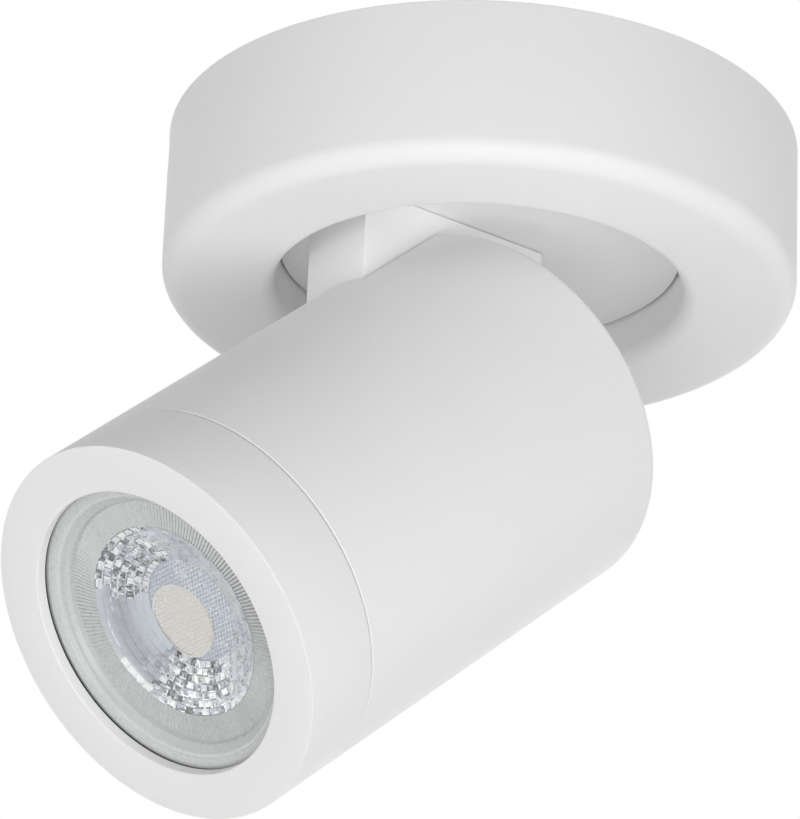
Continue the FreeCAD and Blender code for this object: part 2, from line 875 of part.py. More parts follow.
def lamp_pins():
    rear = -lamp_rear
    neck_end = rear + pin_neck_length
    head_end = neck_end + pin_head_length
    pins = []
    for x in (-pin_way, pin_way):
        pin = turned_shape([
            (0, rear - pin_root, 0),
            (lamp_pin_neck_radius, rear - pin_root, 0),
            (lamp_pin_neck_radius, neck_end, 0),
            (lamp_pin_head_radius, neck_end, 0),
            (lamp_pin_head_radius, head_end, 0),
            (lamp_pin_head_radius - pin_head_break, head_end + pin_head_break, 0),
            (0, head_end + pin_head_break, 0),
        ])
        pin.translate(across * x)
        pins.append(pin)
    return group(pins)


def lamp_lens():
    front = -lamp_front
    flange = drum(lens_radius, front, front + lens_flange)
    collimator = cone(collimator_front_radius, collimator_rear_radius, front + lens_flange, front + lens_back)
    well = drum(chip_radius + 0.4, front + lens_back - chip_well_depth, front + lens_back + 1)
    return flange.fuse(collimator).cut(well)


def lamp_board():
    low = -lamp_front + board_back
    return drum(lamp_radius - board_inset, low, low + board_thickness)


def lamp_chip():
    low = -lamp_front + board_back
    return drum(chip_radius, low - chip_height, low)


def driver_board():
    low = -lamp_front + board_back + board_thickness
    board = block(-11, 11, -0.8, 0.8, low, low + 24)
    capacitor = drum(4.0, low + 4, low + 16, 4, 4.8)
    transformer = block(-9, 0, 0.8, 8.8, low + 4, low + 13)
    return group([board, capacitor, transformer])


def main():
    os.makedirs("parts", exist_ok=True)
    save("base_cover", base_cover())
    save("mounting_bracket", mounting_bracket())
    screw = cover_screw()
    save("cover_screws", group([turned(screw, bracket_angle + side) for side in (0, 180)]))
    save("terminal_block", terminal_block())
    save("terminal_clamps", terminal_clamps())
    save("terminal_screws", terminal_screws())
    save("terminal_fixing_screws", terminal_fixing_screws())
    save("earth_screw", earth_screw())
    save("earth_washer", earth_washer())
    save("stop_pin", stop_pin())

    save("swivel_disc", swivel_disc())
    save("arm_screws", arm_screws())
    save("hollow_bolt", hollow_bolt())
    save("friction_washer", friction_washer())
    save("swivel_washer", swivel_washer())
    save("swivel_spring_washer", swivel_spring_washer())
    save("swivel_nut", swivel_nut())
    save("tilt_arm", tilt_arm())

    save("head_can", as_head(head_can()))
    save("pivot_bracket_left", as_head(pivot_bracket(-1)))
    save("pivot_bracket_right", as_head(pivot_bracket(1)))
    save("bracket_screws", as_head(bracket_screws()))
    save("pivot_screw", as_head(pivot_screw()))
    save("pivot_friction_washers", as_head(pivot_friction_washers()))
    save("pivot_spring_washer", as_head(pivot_spring_washer()))
    save("pivot_nut", as_head(pivot_nut()))
    save("holder_strap", as_head(holder_strap()))
    save("strap_screws", as_head(strap_screws()))
    save("lampholder", as_head(lampholder()))
    save("holder_screws", as_head(holder_screws()))
    save("holder_contacts", as_head(holder_contacts()))

    save("bezel_gasket", as_head(bezel_gasket()))
    save("bezel_ring", as_head(bezel_ring()))

    save("lamp_housing", as_head(lamp_housing()))
    save("lamp_pins", as_head(lamp_pins()))
    save("lamp_lens", as_head(lamp_lens()))
    save("lamp_board", as_head(lamp_board()))
    save("lamp_chip", as_head(lamp_chip()))
    save("driver_board", as_head(driver_board()))


main()
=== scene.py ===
import bmesh
import bpy
import json
import math
import random
from mathutils import Matrix, Vector


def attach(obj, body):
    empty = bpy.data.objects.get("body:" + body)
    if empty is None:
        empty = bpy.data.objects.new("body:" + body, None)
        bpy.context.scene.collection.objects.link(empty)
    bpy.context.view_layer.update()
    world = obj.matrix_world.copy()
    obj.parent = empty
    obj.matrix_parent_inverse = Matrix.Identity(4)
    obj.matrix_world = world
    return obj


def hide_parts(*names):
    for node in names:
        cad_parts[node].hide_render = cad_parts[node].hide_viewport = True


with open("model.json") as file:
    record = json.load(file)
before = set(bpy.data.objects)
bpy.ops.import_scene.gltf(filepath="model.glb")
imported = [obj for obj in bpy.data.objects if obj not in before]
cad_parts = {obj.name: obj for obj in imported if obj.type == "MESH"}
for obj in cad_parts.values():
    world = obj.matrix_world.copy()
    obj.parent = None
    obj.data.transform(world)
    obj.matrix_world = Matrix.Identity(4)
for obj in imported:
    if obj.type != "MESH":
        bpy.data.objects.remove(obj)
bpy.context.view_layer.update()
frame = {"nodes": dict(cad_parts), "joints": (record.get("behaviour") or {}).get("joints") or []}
nodes = frame["nodes"]
joints = {joint["name"]: joint for joint in frame["joints"]}
print("frame loaded with", len(nodes), "nodes")

mm = 0.001
fullTurn = 2 * math.pi

# Head pieces are modelled hanging straight down: front at -Z, top side at -Y, pivot at the origin.
tiltPivot = Vector(joints["tilt"]["pos_m"])
hangingZ = -Vector(joints["lamp_twist"]["axis"]).normalized()
hangingX = Vector((1, 0, 0))
hangingY = hangingZ.cross(hangingX)
headPlace = Matrix.Translation(tiltPivot) @ Matrix((hangingX, hangingY, hangingZ)).transposed().to_4x4()
basePlace = Matrix.Identity(4)


def nodeSpan(name, place):
    toLocal = place.inverted()
    points = [toLocal @ vertex.co for vertex in nodes[name].data.vertices]
    low = Vector([min(point[i] for point in points) for i in range(3)])
    high = Vector([max(point[i] for point in points) for i in range(3)])
    return low, high


baseLow, baseHigh = nodeSpan("base_cover", basePlace)
discLow, discHigh = nodeSpan("swivel_disc", basePlace)
armLow, armHigh = nodeSpan("tilt_arm", basePlace)
canLow, canHigh = nodeSpan("head_can", headPlace)
bezelLow, bezelHigh = nodeSpan("bezel_ring", headPlace)
housingLow = nodeSpan("lamp_housing", headPlace)[0]

baseRadius = baseHigh.x
discRadius = discHigh.x
headRadius = canHigh.x
armHalf = armHigh.x


def setSharp(mesh, angle):
    for polygon in mesh.polygons:
        polygon.use_smooth = True
    mesh.set_sharp_from_angle(angle=math.radians(angle))


def finishPiece(name, bm, place, body, material, standsFor=(), sharpAngle=35, closed=True):
    bmesh.ops.remove_doubles(bm, verts=bm.verts, dist=1e-7)
    if closed:
        bmesh.ops.recalc_face_normals(bm, faces=bm.faces)
    mesh = bpy.data.meshes.new(name)
    bm.to_mesh(mesh)
    bm.free()
    mesh.transform(place)
    setSharp(mesh, sharpAngle)
    mesh.materials.append(material)
    piece = bpy.data.objects.new(name, mesh)
    bpy.context.scene.collection.objects.link(piece)
    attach(piece, body)
    if standsFor:
        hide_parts(*standsFor)
    return piece


def ringEdges(bm, radius, height):
    def onRing(vertex):
        return abs(vertex.co.xy.length - radius) < 2e-7 and abs(vertex.co.z - height) < 2e-7
    return [edge for edge in bm.edges if onRing(edge.verts[0]) and onRing(edge.verts[1])]


def lathe(corners, steps, roundSteps=6):
    bm = bmesh.new()
    points = [bm.verts.new((radius, 0, height)) for radius, height, rounding in corners]
    for i, point in enumerate(points):
        following = points[(i + 1) % len(points)]
        if point.co.x > 0 or following.co.x > 0:
            bm.edges.new((point, following))
    bmesh.ops.spin(bm, geom=bm.verts[:] + bm.edges[:], cent=(0, 0, 0), axis=(0, 0, 1),
                   angle=fullTurn, steps=steps, use_merge=True)
    bmesh.ops.remove_doubles(bm, verts=bm.verts, dist=1e-7)
    bmesh.ops.recalc_face_normals(bm, faces=bm.faces)
    for radius, height, rounding in corners:
        if rounding > 0:
            bmesh.ops.bevel(bm, geom=ringEdges(bm, radius, height), offset=rounding, offset_type="OFFSET",
                            affect="EDGES", segments=roundSteps, profile=0.5, material=-1)
    return bm


def addBox(bm, low, high):
    made = bmesh.ops.create_cube(bm, size=1)["verts"]
    size = Vector(high) - Vector(low)
    bmesh.ops.scale(bm, vec=size, verts=made)
    bmesh.ops.translate(bm, vec=(Vector(low) + Vector(high)) / 2, verts=made)
    return made


def threadRows(radius, low, high, pitch):
    # Rows of points along a wall, which windThread shapes afterwards.
    count = round((high - low) / pitch * 8)
    return [(radius, low + (high - low) * row / count, 0) for row in range(1, count)]


def windThread(bm, radius, low, high, pitch, depth):
    for vertex in bm.verts:
        if abs(vertex.co.xy.length - radius) < 2e-7 and low < vertex.co.z < high:
            phase = (vertex.co.z / pitch - math.atan2(vertex.co.y, vertex.co.x) / fullTurn) % 1
            fade = min(1, (vertex.co.z - low) / pitch, (high - vertex.co.z) / pitch)
            vertex.co.xy *= 1 - depth * fade * abs(2 * phase - 1) / radius


def mergeIn(whole, part, place):
    mesh = bpy.data.meshes.new("part")
    part.to_mesh(mesh)
    part.free()
    mesh.transform(place)
    whole.from_mesh(mesh)
    bpy.data.meshes.remove(mesh)


def cutOut(bm, cutters):
    # Cuts solids out of a piece while both are still loose meshes.
    bodyMesh = bpy.data.meshes.new("uncut")
    bm.to_mesh(bodyMesh)
    bm.free()
    uncut = bpy.data.objects.new("uncut", bodyMesh)
    bpy.context.scene.collection.objects.link(uncut)
    tools = []
    for cutter in cutters:
        bmesh.ops.recalc_face_normals(cutter, faces=cutter.faces)
        toolMesh = bpy.data.meshes.new("cutter")
        cutter.to_mesh(toolMesh)
        cutter.free()
        tool = bpy.data.objects.new("cutter", toolMesh)
        bpy.context.scene.collection.objects.link(tool)
        cut = uncut.modifiers.new("cut", "BOOLEAN")
        cut.operation = "DIFFERENCE"
        cut.solver = "EXACT"
        cut.object = tool
        tools.append(tool)
    depsgraph = bpy.context.evaluated_depsgraph_get()
    result = bpy.data.meshes.new_from_object(uncut.evaluated_get(depsgraph))
    bm = bmesh.new()
    bm.from_mesh(result)
    for spare in [uncut] + tools:
        bpy.data.objects.remove(spare)
    return bm


# Materials

def newMaterial(name):
    material = bpy.data.materials.new(name)
    material.use_nodes = True
    tree = material.node_tree
    shader = tree.nodes["Principled BSDF"]
    return material, tree, shader


def objectCoords(tree):
    return tree.nodes.new("ShaderNodeTexCoord").outputs["Object"]


def noiseField(tree, coords, scale, detail=2.0, roughness=0.5):
    noise = tree.nodes.new("ShaderNodeTexNoise")
    noise.inputs["Scale"].default_value = scale
    noise.inputs["Detail"].default_value = detail
    noise.inputs["Roughness"].default_value = roughness
    tree.links.new(coords, noise.inputs["Vector"])
    return noise.outputs["Fac"]


def remap(tree, value, low, high, fromLow=0.3, fromHigh=0.7):
    node = tree.nodes.new("ShaderNodeMapRange")
    node.inputs["From Min"].default_value = fromLow
    node.inputs["From Max"].default_value = fromHigh
    node.inputs["To Min"].default_value = low
    node.inputs["To Max"].default_value = high
    tree.links.new(value, node.inputs["Value"])
    return node.outputs["Result"]


def colourRamp(tree, value, stops):
    node = tree.nodes.new("ShaderNodeValToRGB")
    ramp = node.color_ramp
    while len(ramp.elements) < len(stops):
        ramp.elements.new(0.5)
    for element, (position, colour) in zip(ramp.elements, stops):
        element.position = position
        element.color = (*colour, 1)
    tree.links.new(value, node.inputs["Fac"])
    return node.outputs["Color"]


def addBump(tree, shader, height, distance, strength=1.0, normal=None):
    bump = tree.nodes.new("ShaderNodeBump")
    bump.inputs["Distance"].default_value = distance
    bump.inputs["Strength"].default_value = strength
    tree.links.new(height, bump.inputs["Height"])
    if normal is not None:
        tree.links.new(normal, bump.inputs["Normal"])
    tree.links.new(bump.outputs["Normal"], shader.inputs["Normal"])
    return bump.outputs["Normal"]


whiteCoat = {"colour": (0.90, 0.902, 0.897), "shade": (0.885, 0.887, 0.882), "roughLow": 0.40, "roughHigh": 0.52,
             "grainScale": 2600, "grainDepth": 0.000012, "rippleScale": 420, "rippleDepth": 0.000012}


def makeWhiteCoat(name, look):
    material, tree, shader = newMaterial(name)
    coords = objectCoords(tree)
    tone = noiseField(tree, coords, 30, 3)
    grain = noiseField(tree, coords, look["grainScale"], 3, 0.6)
    ripple = noiseField(tree, coords, look["rippleScale"], 1)
    tree.links.new(colourRamp(tree, tone, [(0.35, look["shade"]), (0.65, look["colour"])]), shader.inputs["Base Color"])
    tree.links.new(remap(tree, grain, look["roughLow"], look["roughHigh"]), shader.inputs["Roughness"])
    first = addBump(tree, shader, ripple, look["rippleDepth"])
    addBump(tree, shader, grain, look["grainDepth"], 1.0, first)
    shader.inputs["Specular IOR Level"].default_value = 0.42
    return material


metalLooks = {
    "zincPlate": {"colour": (0.70, 0.71, 0.72), "shade": (0.56, 0.57, 0.60), "rough": 0.30, "scale": 260},
    "brassBare": {"colour": (0.78, 0.58, 0.27), "shade": (0.62, 0.44, 0.19), "rough": 0.28, "scale": 300},
}


def makeMetal(name, look):
    material, tree, shader = newMaterial(name)
    coords = objectCoords(tree)
    stain = noiseField(tree, coords, look["scale"], 5, 0.6)
    scratch = noiseField(tree, coords, look["scale"] * 12, 2)
    tree.links.new(colourRamp(tree, stain, [(0.3, look["shade"]), (0.7, look["colour"])]), shader.inputs["Base Color"])
    tree.links.new(remap(tree, stain, look["rough"] - 0.07, look["rough"] + 0.12), shader.inputs["Roughness"])
    addBump(tree, shader, scratch, 0.000004)
    shader.inputs["Metallic"].default_value = 1.0
    return material


plasticLooks = {
    "blockPlastic": {"colour": (0.80, 0.79, 0.73), "shade": (0.74, 0.73, 0.66),
                     "rough": 0.42, "scale": 700, "depth": 0.000008},
    "nylonNatural": {"colour": (0.74, 0.73, 0.68), "shade": (0.68, 0.67, 0.62),
                     "rough": 0.46, "scale": 900, "depth": 0.000006},
    "redFibre": {"colour": (0.30, 0.11, 0.06), "shade": (0.22, 0.08, 0.05),
                 "rough": 0.75, "scale": 1400, "depth": 0.00002},
    "ceramicGlaze": {"colour": (0.84, 0.82, 0.76), "shade": (0.79, 0.77, 0.71),
                     "rough": 0.22, "scale": 500, "depth": 0.00001},
    "blackSilicone": {"colour": (0.016, 0.016, 0.017), "shade": (0.010, 0.010, 0.011),
                      "rough": 0.62, "scale": 1800, "depth": 0.00001},
    "lampPlastic": {"colour": (0.78, 0.79, 0.80), "shade": (0.74, 0.75, 0.76),
                    "rough": 0.30, "scale": 900, "depth": 0.000006},
    "boardWhite": {"colour": (0.78, 0.79, 0.80), "shade": (0.74, 0.75, 0.76),
                   "rough": 0.35, "scale": 800, "depth": 0.000004},
    "boardGreen": {"colour": (0.03, 0.16, 0.06), "shade": (0.02, 0.12, 0.05),
                   "rough": 0.35, "scale": 900, "depth": 0.000008},
}


def makePlastic(name, look):
    material, tree, shader = newMaterial(name)
    coords = objectCoords(tree)
    tone = noiseField(tree, coords, look["scale"] / 8, 3)
    grain = noiseField(tree, coords, look["scale"] * 4, 2)
    tree.links.new(colourRamp(tree, tone, [(0.35, look["shade"]), (0.65, look["colour"])]), shader.inputs["Base Color"])
    tree.links.new(remap(tree, grain, look["rough"] - 0.05, look["rough"] + 0.06), shader.inputs["Roughness"])
    addBump(tree, shader, grain, look["depth"])
    return material


def makeClearPlastic(name, tint, clearest, milkiest):
    # A thin clear disc: it veils what lies behind it a little more towards grazing views.
    material, tree, shader = newMaterial(name)
    coords = objectCoords(tree)
    flow = noiseField(tree, coords, 90, 2)
    tree.links.new(colourRamp(tree, flow, [(0.3, tint), (0.7, (1, 1, 1))]), shader.inputs["Base Color"])
    tree.links.new(remap(tree, flow, 0.04, 0.08), shader.inputs["Roughness"])
    edge = tree.nodes.new("ShaderNodeLayerWeight")
    edge.inputs["Blend"].default_value = 0.35
    tree.links.new(remap(tree, edge.outputs["Facing"], clearest, milkiest, 0.0, 1.0), shader.inputs["Alpha"])
    shader.inputs["IOR"].default_value = 1.49
    return material


def makeToned(name, stops, metallic, glint, roughness, fleckAmount):
    # The tone is kept on the mesh, one value for each facet cell, rib side or dimple side; it carries the painted
    # reflections, highlights and shade of the lens.
    material, tree, shader = newMaterial(name)
    tone = tree.nodes.new("ShaderNodeAttribute")
    tone.attribute_name = "tone"
    fleck = noiseField(tree, objectCoords(tree), 1500, 2)
    mixed = tree.nodes.new("ShaderNodeMath")
    mixed.operation = "MULTIPLY_ADD"
    mixed.inputs[1].default_value = fleckAmount
    tree.links.new(fleck, mixed.inputs[0])
    tree.links.new(tone.outputs["Fac"], mixed.inputs[2])
    tree.links.new(colourRamp(tree, mixed.outputs[0], stops), shader.inputs["Base Color"])
    tree.links.new(remap(tree, fleck, roughness, roughness + 0.08), shader.inputs["Roughness"])
    if glint > 0:
        tree.links.new(remap(tree, tone.outputs["Fac"], metallic, glint, 0.8, 1.0), shader.inputs["Metallic"])
    else:
        shader.inputs["Metallic"].default_value = metallic
    return material


tonedLooks = {
    "ribbedPaintedReflections": {"metallic": 0.0, "glint": 0.0, "rough": 0.25, "fleck": 0.03,
                      "stops": [(0.0, (0.02, 0.025, 0.03)), (1.0, (0.955, 0.975, 0.965))]},
    # Ramp for painted reflections on the facets, from deep shade through tinted glints to white.
    "facetPaintedReflections": {"metallic": 0.2, "glint": 0.5, "rough": 0.12, "fleck": 0.1,
                    "stops": [(0.0, (0.02, 0.02, 0.025)), (0.3, (0.19, 0.20, 0.22)), (0.5, (0.45, 0.475, 0.515)),
                              (0.66, (0.58, 0.615, 0.67)), (0.74, (0.66, 0.69, 0.75)), (0.78, (0.76, 0.75, 0.68)),
                              (0.82, (0.72, 0.70, 0.85)), (0.86, (0.72, 0.78, 0.84)),
                              (0.91, (0.80, 0.88, 0.84)), (1.0, (0.99, 0.99, 0.98))]},
    # Ramp for the dimples: bluish painted shade and light, then the warm cream of the chip's painted image.
    "dimplePaintedLight": {"metallic": 0.0, "glint": 0.0, "rough": 0.15, "fleck": 0.12,
                      "stops": [(0.0, (0.20, 0.23, 0.28)), (0.5, (0.56, 0.61, 0.69)), (0.7, (0.84, 0.88, 0.94)),
                                (0.76, (0.86, 0.74, 0.60)),
                                (0.82, (0.71, 0.675, 0.61)), (1.0, (0.84, 0.82, 0.78))]},
}


def makePhosphor(name):
    material, tree, shader = newMaterial(name)
    coords = objectCoords(tree)
    cells = tree.nodes.new("ShaderNodeTexVoronoi")
    cells.inputs["Scale"].default_value = 1200
    tree.links.new(coords, cells.inputs["Vector"])
    tree.links.new(colourRamp(tree, cells.outputs["Distance"], [(0.0, (0.86, 0.80, 0.62)), (0.7, (0.80, 0.72, 0.52))]),
                   shader.inputs["Base Color"])
    tree.links.new(remap(tree, cells.outputs["Distance"], 0.35, 0.5), shader.inputs["Roughness"])
    addBump(tree, shader, cells.outputs["Distance"], 0.00002)
    return material


paints = {"whiteCoat": makeWhiteCoat("whiteCoat", whiteCoat)}
for name, look in metalLooks.items():
    paints[name] = makeMetal(name, look)
for name, look in plasticLooks.items():
    paints[name] = makePlastic(name, look)
for name, look in tonedLooks.items():
    paints[name] = makeToned(name, look["stops"], look["metallic"], look["glint"], look["rough"], look["fleck"])
paints["clearPlastic"] = makeClearPlastic("clearPlastic", (0.93, 0.96, 0.97), 0.02, 0.14)
paints["phosphor"] = makePhosphor("phosphor")
print("materials made:", len(paints))

nodePaint = {
    "mounting_bracket": "zincPlate", "terminal_block": "blockPlastic", "terminal_clamps": "brassBare",
    "terminal_screws": "zincPlate", "terminal_fixing_screws": "zincPlate", "earth_screw": "brassBare",
    "earth_washer": "zincPlate", "stop_pin": "zincPlate", "arm_screws": "zincPlate", "hollow_bolt": "zincPlate",
    "friction_washer": "nylonNatural", "swivel_washer": "zincPlate", "swivel_spring_washer": "zincPlate",
    "swivel_nut": "zincPlate", "pivot_bracket_left": "zincPlate", "pivot_bracket_right": "zincPlate",
    "bracket_screws": "zincPlate", "pivot_screw": "zincPlate", "pivot_friction_washers": "redFibre",
    "pivot_spring_washer": "zincPlate", "pivot_nut": "zincPlate", "holder_strap": "zincPlate",
    "strap_screws": "zincPlate", "lampholder": "ceramicGlaze", "holder_screws": "zincPlate",
    "holder_contacts": "brassBare", "bezel_gasket": "blackSilicone", "lamp_housing": "lampPlastic",
    "lamp_pins": "brassBare", "lamp_board": "boardWhite", "lamp_chip": "phosphor", "driver_board": "boardGreen",
    "cover_screws": "whiteCoat", "base_cover": "whiteCoat", "swivel_disc": "whiteCoat", "tilt_arm": "whiteCoat",
    "head_can": "whiteCoat", "bezel_ring": "whiteCoat", "lamp_lens": "clearPlastic",
}


def paintNode(node, paint):
    piece = nodes[node]
    if not piece.material_slots:
        piece.data.materials.append(paint)
    for slot in piece.material_slots:
        slot.material = paint


for node, paint in nodePaint.items():
    paintNode(node, paints[paint])


baseShell = {"wall": 2.0 * mm, "edgeRound": 3.5 * mm, "recess": 32.1 * mm, "lipRound": 2.4 * mm,
             "floor": 2.0 * mm, "floorTop": -12.8 * mm, "bore": 5.06 * mm, "rimBreak": 0.25 * mm,
             "screwAngle": 55.6, "screwDrop": 4.2 * mm, "screwHole": 2.1 * mm, "seat": 3.0 * mm, "seatDepth": 1.1 * mm,
             "holeFrom": 40 * mm, "holeTo": 52 * mm}


def makeBaseShell():
    size = baseShell
    bottom = baseLow.z
    plateTop = bottom + size["wall"]
    inside = baseRadius - size["wall"]
    collar = size["recess"] + size["wall"]
    shell = lathe([
        (baseRadius, 0, size["rimBreak"]),
        (baseRadius, bottom, size["edgeRound"]),
        (size["recess"], bottom, size["lipRound"]),
        (size["recess"], size["floorTop"] - size["floor"], 0.3 * mm),
        (size["bore"], size["floorTop"] - size["floor"], 0),
        (size["bore"], size["floorTop"], 0),
        (collar, size["floorTop"], 0.8 * mm),
        (collar, plateTop, 0.5 * mm),
        (inside, plateTop, 1.6 * mm),
        (inside, 0, size["rimBreak"]),
    ], 240, 8)
    cutters = []
    for turn in (0, math.pi):
        spot = Matrix.Rotation(math.radians(size["screwAngle"]) + turn, 4, "Z")
        for radius, near in ((size["screwHole"], size["holeFrom"]), (size["seat"], baseRadius - size["seatDepth"])):
            cutter = bmesh.new()
            far = size["holeTo"]
            place = spot @ Matrix.Translation(((near + far) / 2, 0, -size["screwDrop"]))
            place = place @ Matrix.Rotation(math.pi / 2, 4, "Y")
            bmesh.ops.create_cone(cutter, cap_ends=True, segments=48, radius1=radius, radius2=radius,
                                  depth=far - near, matrix=place)
            cutters.append(cutter)
    shell = cutOut(shell, cutters)
    return finishPiece("baseShell", shell, basePlace, "base", paints["whiteCoat"], ["base_cover"])


swivelDisc = {"edge": 0.4 * mm, "bore": 5.0 * mm, "grooveRadius": 28.0 * mm, "grooveHalf": 1.9 * mm,
              "grooveDepth": 1.8 * mm}


def makeSwivelDisc():
    size = swivelDisc
    top, bottom = discHigh.z, discLow.z
    outer, inner = size["grooveRadius"] + size["grooveHalf"], size["grooveRadius"] - size["grooveHalf"]
    disc = lathe([
        (size["bore"], bottom, 0),
        (discRadius, bottom, size["edge"]),
        (discRadius, top, 0.2 * mm),
        (outer, top, 0),
        (outer, top - size["grooveDepth"], 0),
        (inner, top - size["grooveDepth"], 0),
        (inner, top, 0),
        (size["bore"], top, 0),
    ], 240, 4)
    return finishPiece("swivelDisc", disc, basePlace, "swivel", paints["whiteCoat"], ["swivel_disc"])


tiltArm = {"rearRound": 1.2 * mm, "rearFit": 0.45 * mm, "edge": 0.15 * mm, "neck": 0.2 * mm, "neckInset": 0.5 * mm,
           "boss": 6.7 * mm, "frontBottom": 12.5 * mm, "bend": (-15.5 * mm, 4.6 * mm), "bossTurn": 236}


def makeTiltArm():
    size = tiltArm
    rear, front, top = armHigh.y + size["rearFit"], armLow.y, armHigh.z - tiltPivot.z - size["neck"]
    bm = bmesh.new()
    bossTurn = math.radians(size["bossTurn"])
    bossStart = Vector((size["boss"] * math.cos(bossTurn), size["boss"] * math.sin(bossTurn)))
    outline = [Vector((front, top)), Vector((front, size["frontBottom"])), Vector(size["bend"]), bossStart]
    turn = size["bossTurn"]
    while turn < 350:
        turn += 12
        outline.append(Vector((size["boss"] * math.cos(math.radians(turn)),
                               size["boss"] * math.sin(math.radians(turn)))))
    outline += [Vector((size["boss"], 0)), Vector((rear, 1.5 * mm)), Vector((rear, top))]
    corners = [bm.verts.new((-armHalf, point.x, point.y)) for point in outline]
    side = bm.faces.new(corners)
    grown = bmesh.ops.extrude_face_region(bm, geom=[side])["geom"]
    moved = [item for item in grown if isinstance(item, bmesh.types.BMVert)]
    bmesh.ops.translate(bm, vec=(2 * armHalf, 0, 0), verts=moved)
    bmesh.ops.recalc_face_normals(bm, faces=bm.faces)

    def upright(edge, y):
        tall = abs(edge.verts[0].co.z - edge.verts[1].co.z) > 5 * mm
        return tall and all(abs(vertex.co.y - y) < 1e-6 for vertex in edge.verts)

    bmesh.ops.bevel(bm, geom=[edge for edge in bm.edges if upright(edge, rear)], offset=size["rearRound"],
                    offset_type="OFFSET", affect="EDGES", segments=8, profile=0.5, material=-1)
    sharp = [edge for edge in bm.edges if len(edge.link_faces) == 2 and edge.calc_face_angle() > math.radians(50)
             and max(vertex.co.z for vertex in edge.verts) < top - 1 * mm or upright(edge, front)]
    bmesh.ops.bevel(bm, geom=sharp, offset=size["edge"], offset_type="OFFSET", affect="EDGES", segments=3,
                    profile=0.5, material=-1)
    roof = [face for face in bm.faces if face.calc_center_median().z > top - 0.01 * mm]
    bmesh.ops.inset_region(bm, faces=roof, thickness=size["neckInset"], depth=0)
    for vertex in {vertex for face in roof for vertex in face.verts}:
        vertex.co.z += size["neck"]
    place = Matrix.Translation((0, 0, tiltPivot.z))
    return finishPiece("tiltArm", bm, place, "swivel", paints["whiteCoat"], ["tilt_arm"])


headCan = {"wall": 2.0 * mm, "rearRound": 1.3 * mm, "spigot": 28.0 * mm, "spigotBore": 26.0 * mm,
           "spigotLength": 8.0 * mm, "slotGap": 0.2 * mm, "slotBottom": 7.5 * mm, "slotEdge": 0.22 * mm,
           "slotEnd": -14.0 * mm, "seamEdge": 0.25 * mm, "threadPitch": 1.5 * mm, "threadDepth": 0.55 * mm}


def makeHeadCan():
    size = headCan
    rear, spigotEnd = canHigh.z, canLow.z
    seam = spigotEnd + size["spigotLength"]
    inside = headRadius - size["wall"]
    threadSpan = (spigotEnd + 0.5 * mm, seam - 0.6 * mm)
    rows = threadRows(size["spigot"], *threadSpan, size["threadPitch"])
    can = lathe([
        (0, rear, 0),
        (headRadius, rear, size["rearRound"]),
        (headRadius, size["slotEnd"], 0),
        (headRadius, seam, size["seamEdge"]),
        (size["spigot"], seam, 0),
        *reversed(rows),
        (size["spigot"], spigotEnd, 0.3 * mm),
        (size["spigotBore"], spigotEnd, 0),
        (size["spigotBore"], seam + 5 * mm, 0),
        (inside, seam + 7 * mm, 0),
        (inside, rear - size["wall"], 1.0 * mm),
        (0, rear - size["wall"], 0),
    ], 240, 8)
    can = cutOut(can, [slotCutter()])
    windThread(can, size["spigot"], *threadSpan, size["threadPitch"], size["threadDepth"])
    half = armHalf + size["slotGap"]

    def alongSlot(edge):
        if len(edge.link_faces) != 2 or edge.calc_face_angle() < math.radians(35):
            return False
        middle = (edge.verts[0].co + edge.verts[1].co) / 2
        outside = middle.xy.length > headRadius - 0.5 * mm or middle.z > rear - 0.5 * mm
        return outside and abs(middle.x) < half + 0.01 * mm and middle.y < size["slotBottom"] + 0.01 * mm

    bmesh.ops.bevel(can, geom=[edge for edge in can.edges if alongSlot(edge)], offset=size["slotEdge"],
                    offset_type="OFFSET", affect="EDGES", segments=2, profile=0.5, material=-1)
    return finishPiece("headCan", can, headPlace, "head", paints["whiteCoat"], ["head_can"], sharpAngle=20)


def slotCutter():
    # Its front end lies along the arm's front face as the head rests.
    size = headCan
    half = armHalf + size["slotGap"]
    restTilt = math.acos(hangingZ.z)
    end = -armLow.y + size["slotGap"]

    def frontEnd(v):
        return -(end - v * math.cos(restTilt)) / math.sin(restTilt)

    inside, outside = headRadius - 4 * mm, headRadius + 2 * mm
    rear = canHigh.z
    roof = rear - size["wall"] - 0.1 * mm
    corners = [(size["slotBottom"], rear + 2 * mm), (size["slotBottom"], roof), (-inside, roof),
               (-inside, frontEnd(inside)), (-outside, frontEnd(outside)), (-outside, rear + 2 * mm)]
    bm = bmesh.new()
    side = bm.faces.new([bm.verts.new((-half, y, z)) for y, z in corners])
    grown = bmesh.ops.extrude_face_region(bm, geom=[side])["geom"]
    moved = [item for item in grown if isinstance(item, bmesh.types.BMVert)]
    bmesh.ops.translate(bm, vec=(2 * half, 0, 0), verts=moved)
    return bm


bezelRing = {"lip": 1.8 * mm, "aperture": 22.7 * mm, "edge": 0.15 * mm, "apertureEdge": 0.25 * mm,
             "seamEdge": 0.25 * mm, "threadBore": 28.3 * mm, "shoulder": 8.6 * mm, "pocket": 25.7 * mm}


def makeBezelRing():
    size = bezelRing
    front, rear = bezelLow.z, bezelHigh.z
    shoulder = rear + 0.2 * mm - size["shoulder"]
    ring = lathe([
        (size["aperture"], front, size["apertureEdge"]),
        (headRadius, front, size["edge"]),
        (headRadius, rear, size["seamEdge"]),
        (size["threadBore"], rear, 0.2 * mm),
        (size["threadBore"], shoulder, 0),
        (size["pocket"], shoulder, 0),
        (size["pocket"], front + size["lip"], 0),
        (size["aperture"], front + size["lip"], 0.1 * mm),
    ], 240, 6)
    return finishPiece("bezelRing", ring, headPlace, "bezel", paints["whiteCoat"], ["bezel_ring"])


gasket = {"inner": 22.75 * mm, "outer": 25.3 * mm, "thick": 0.28 * mm, "edge": 0.08 * mm}


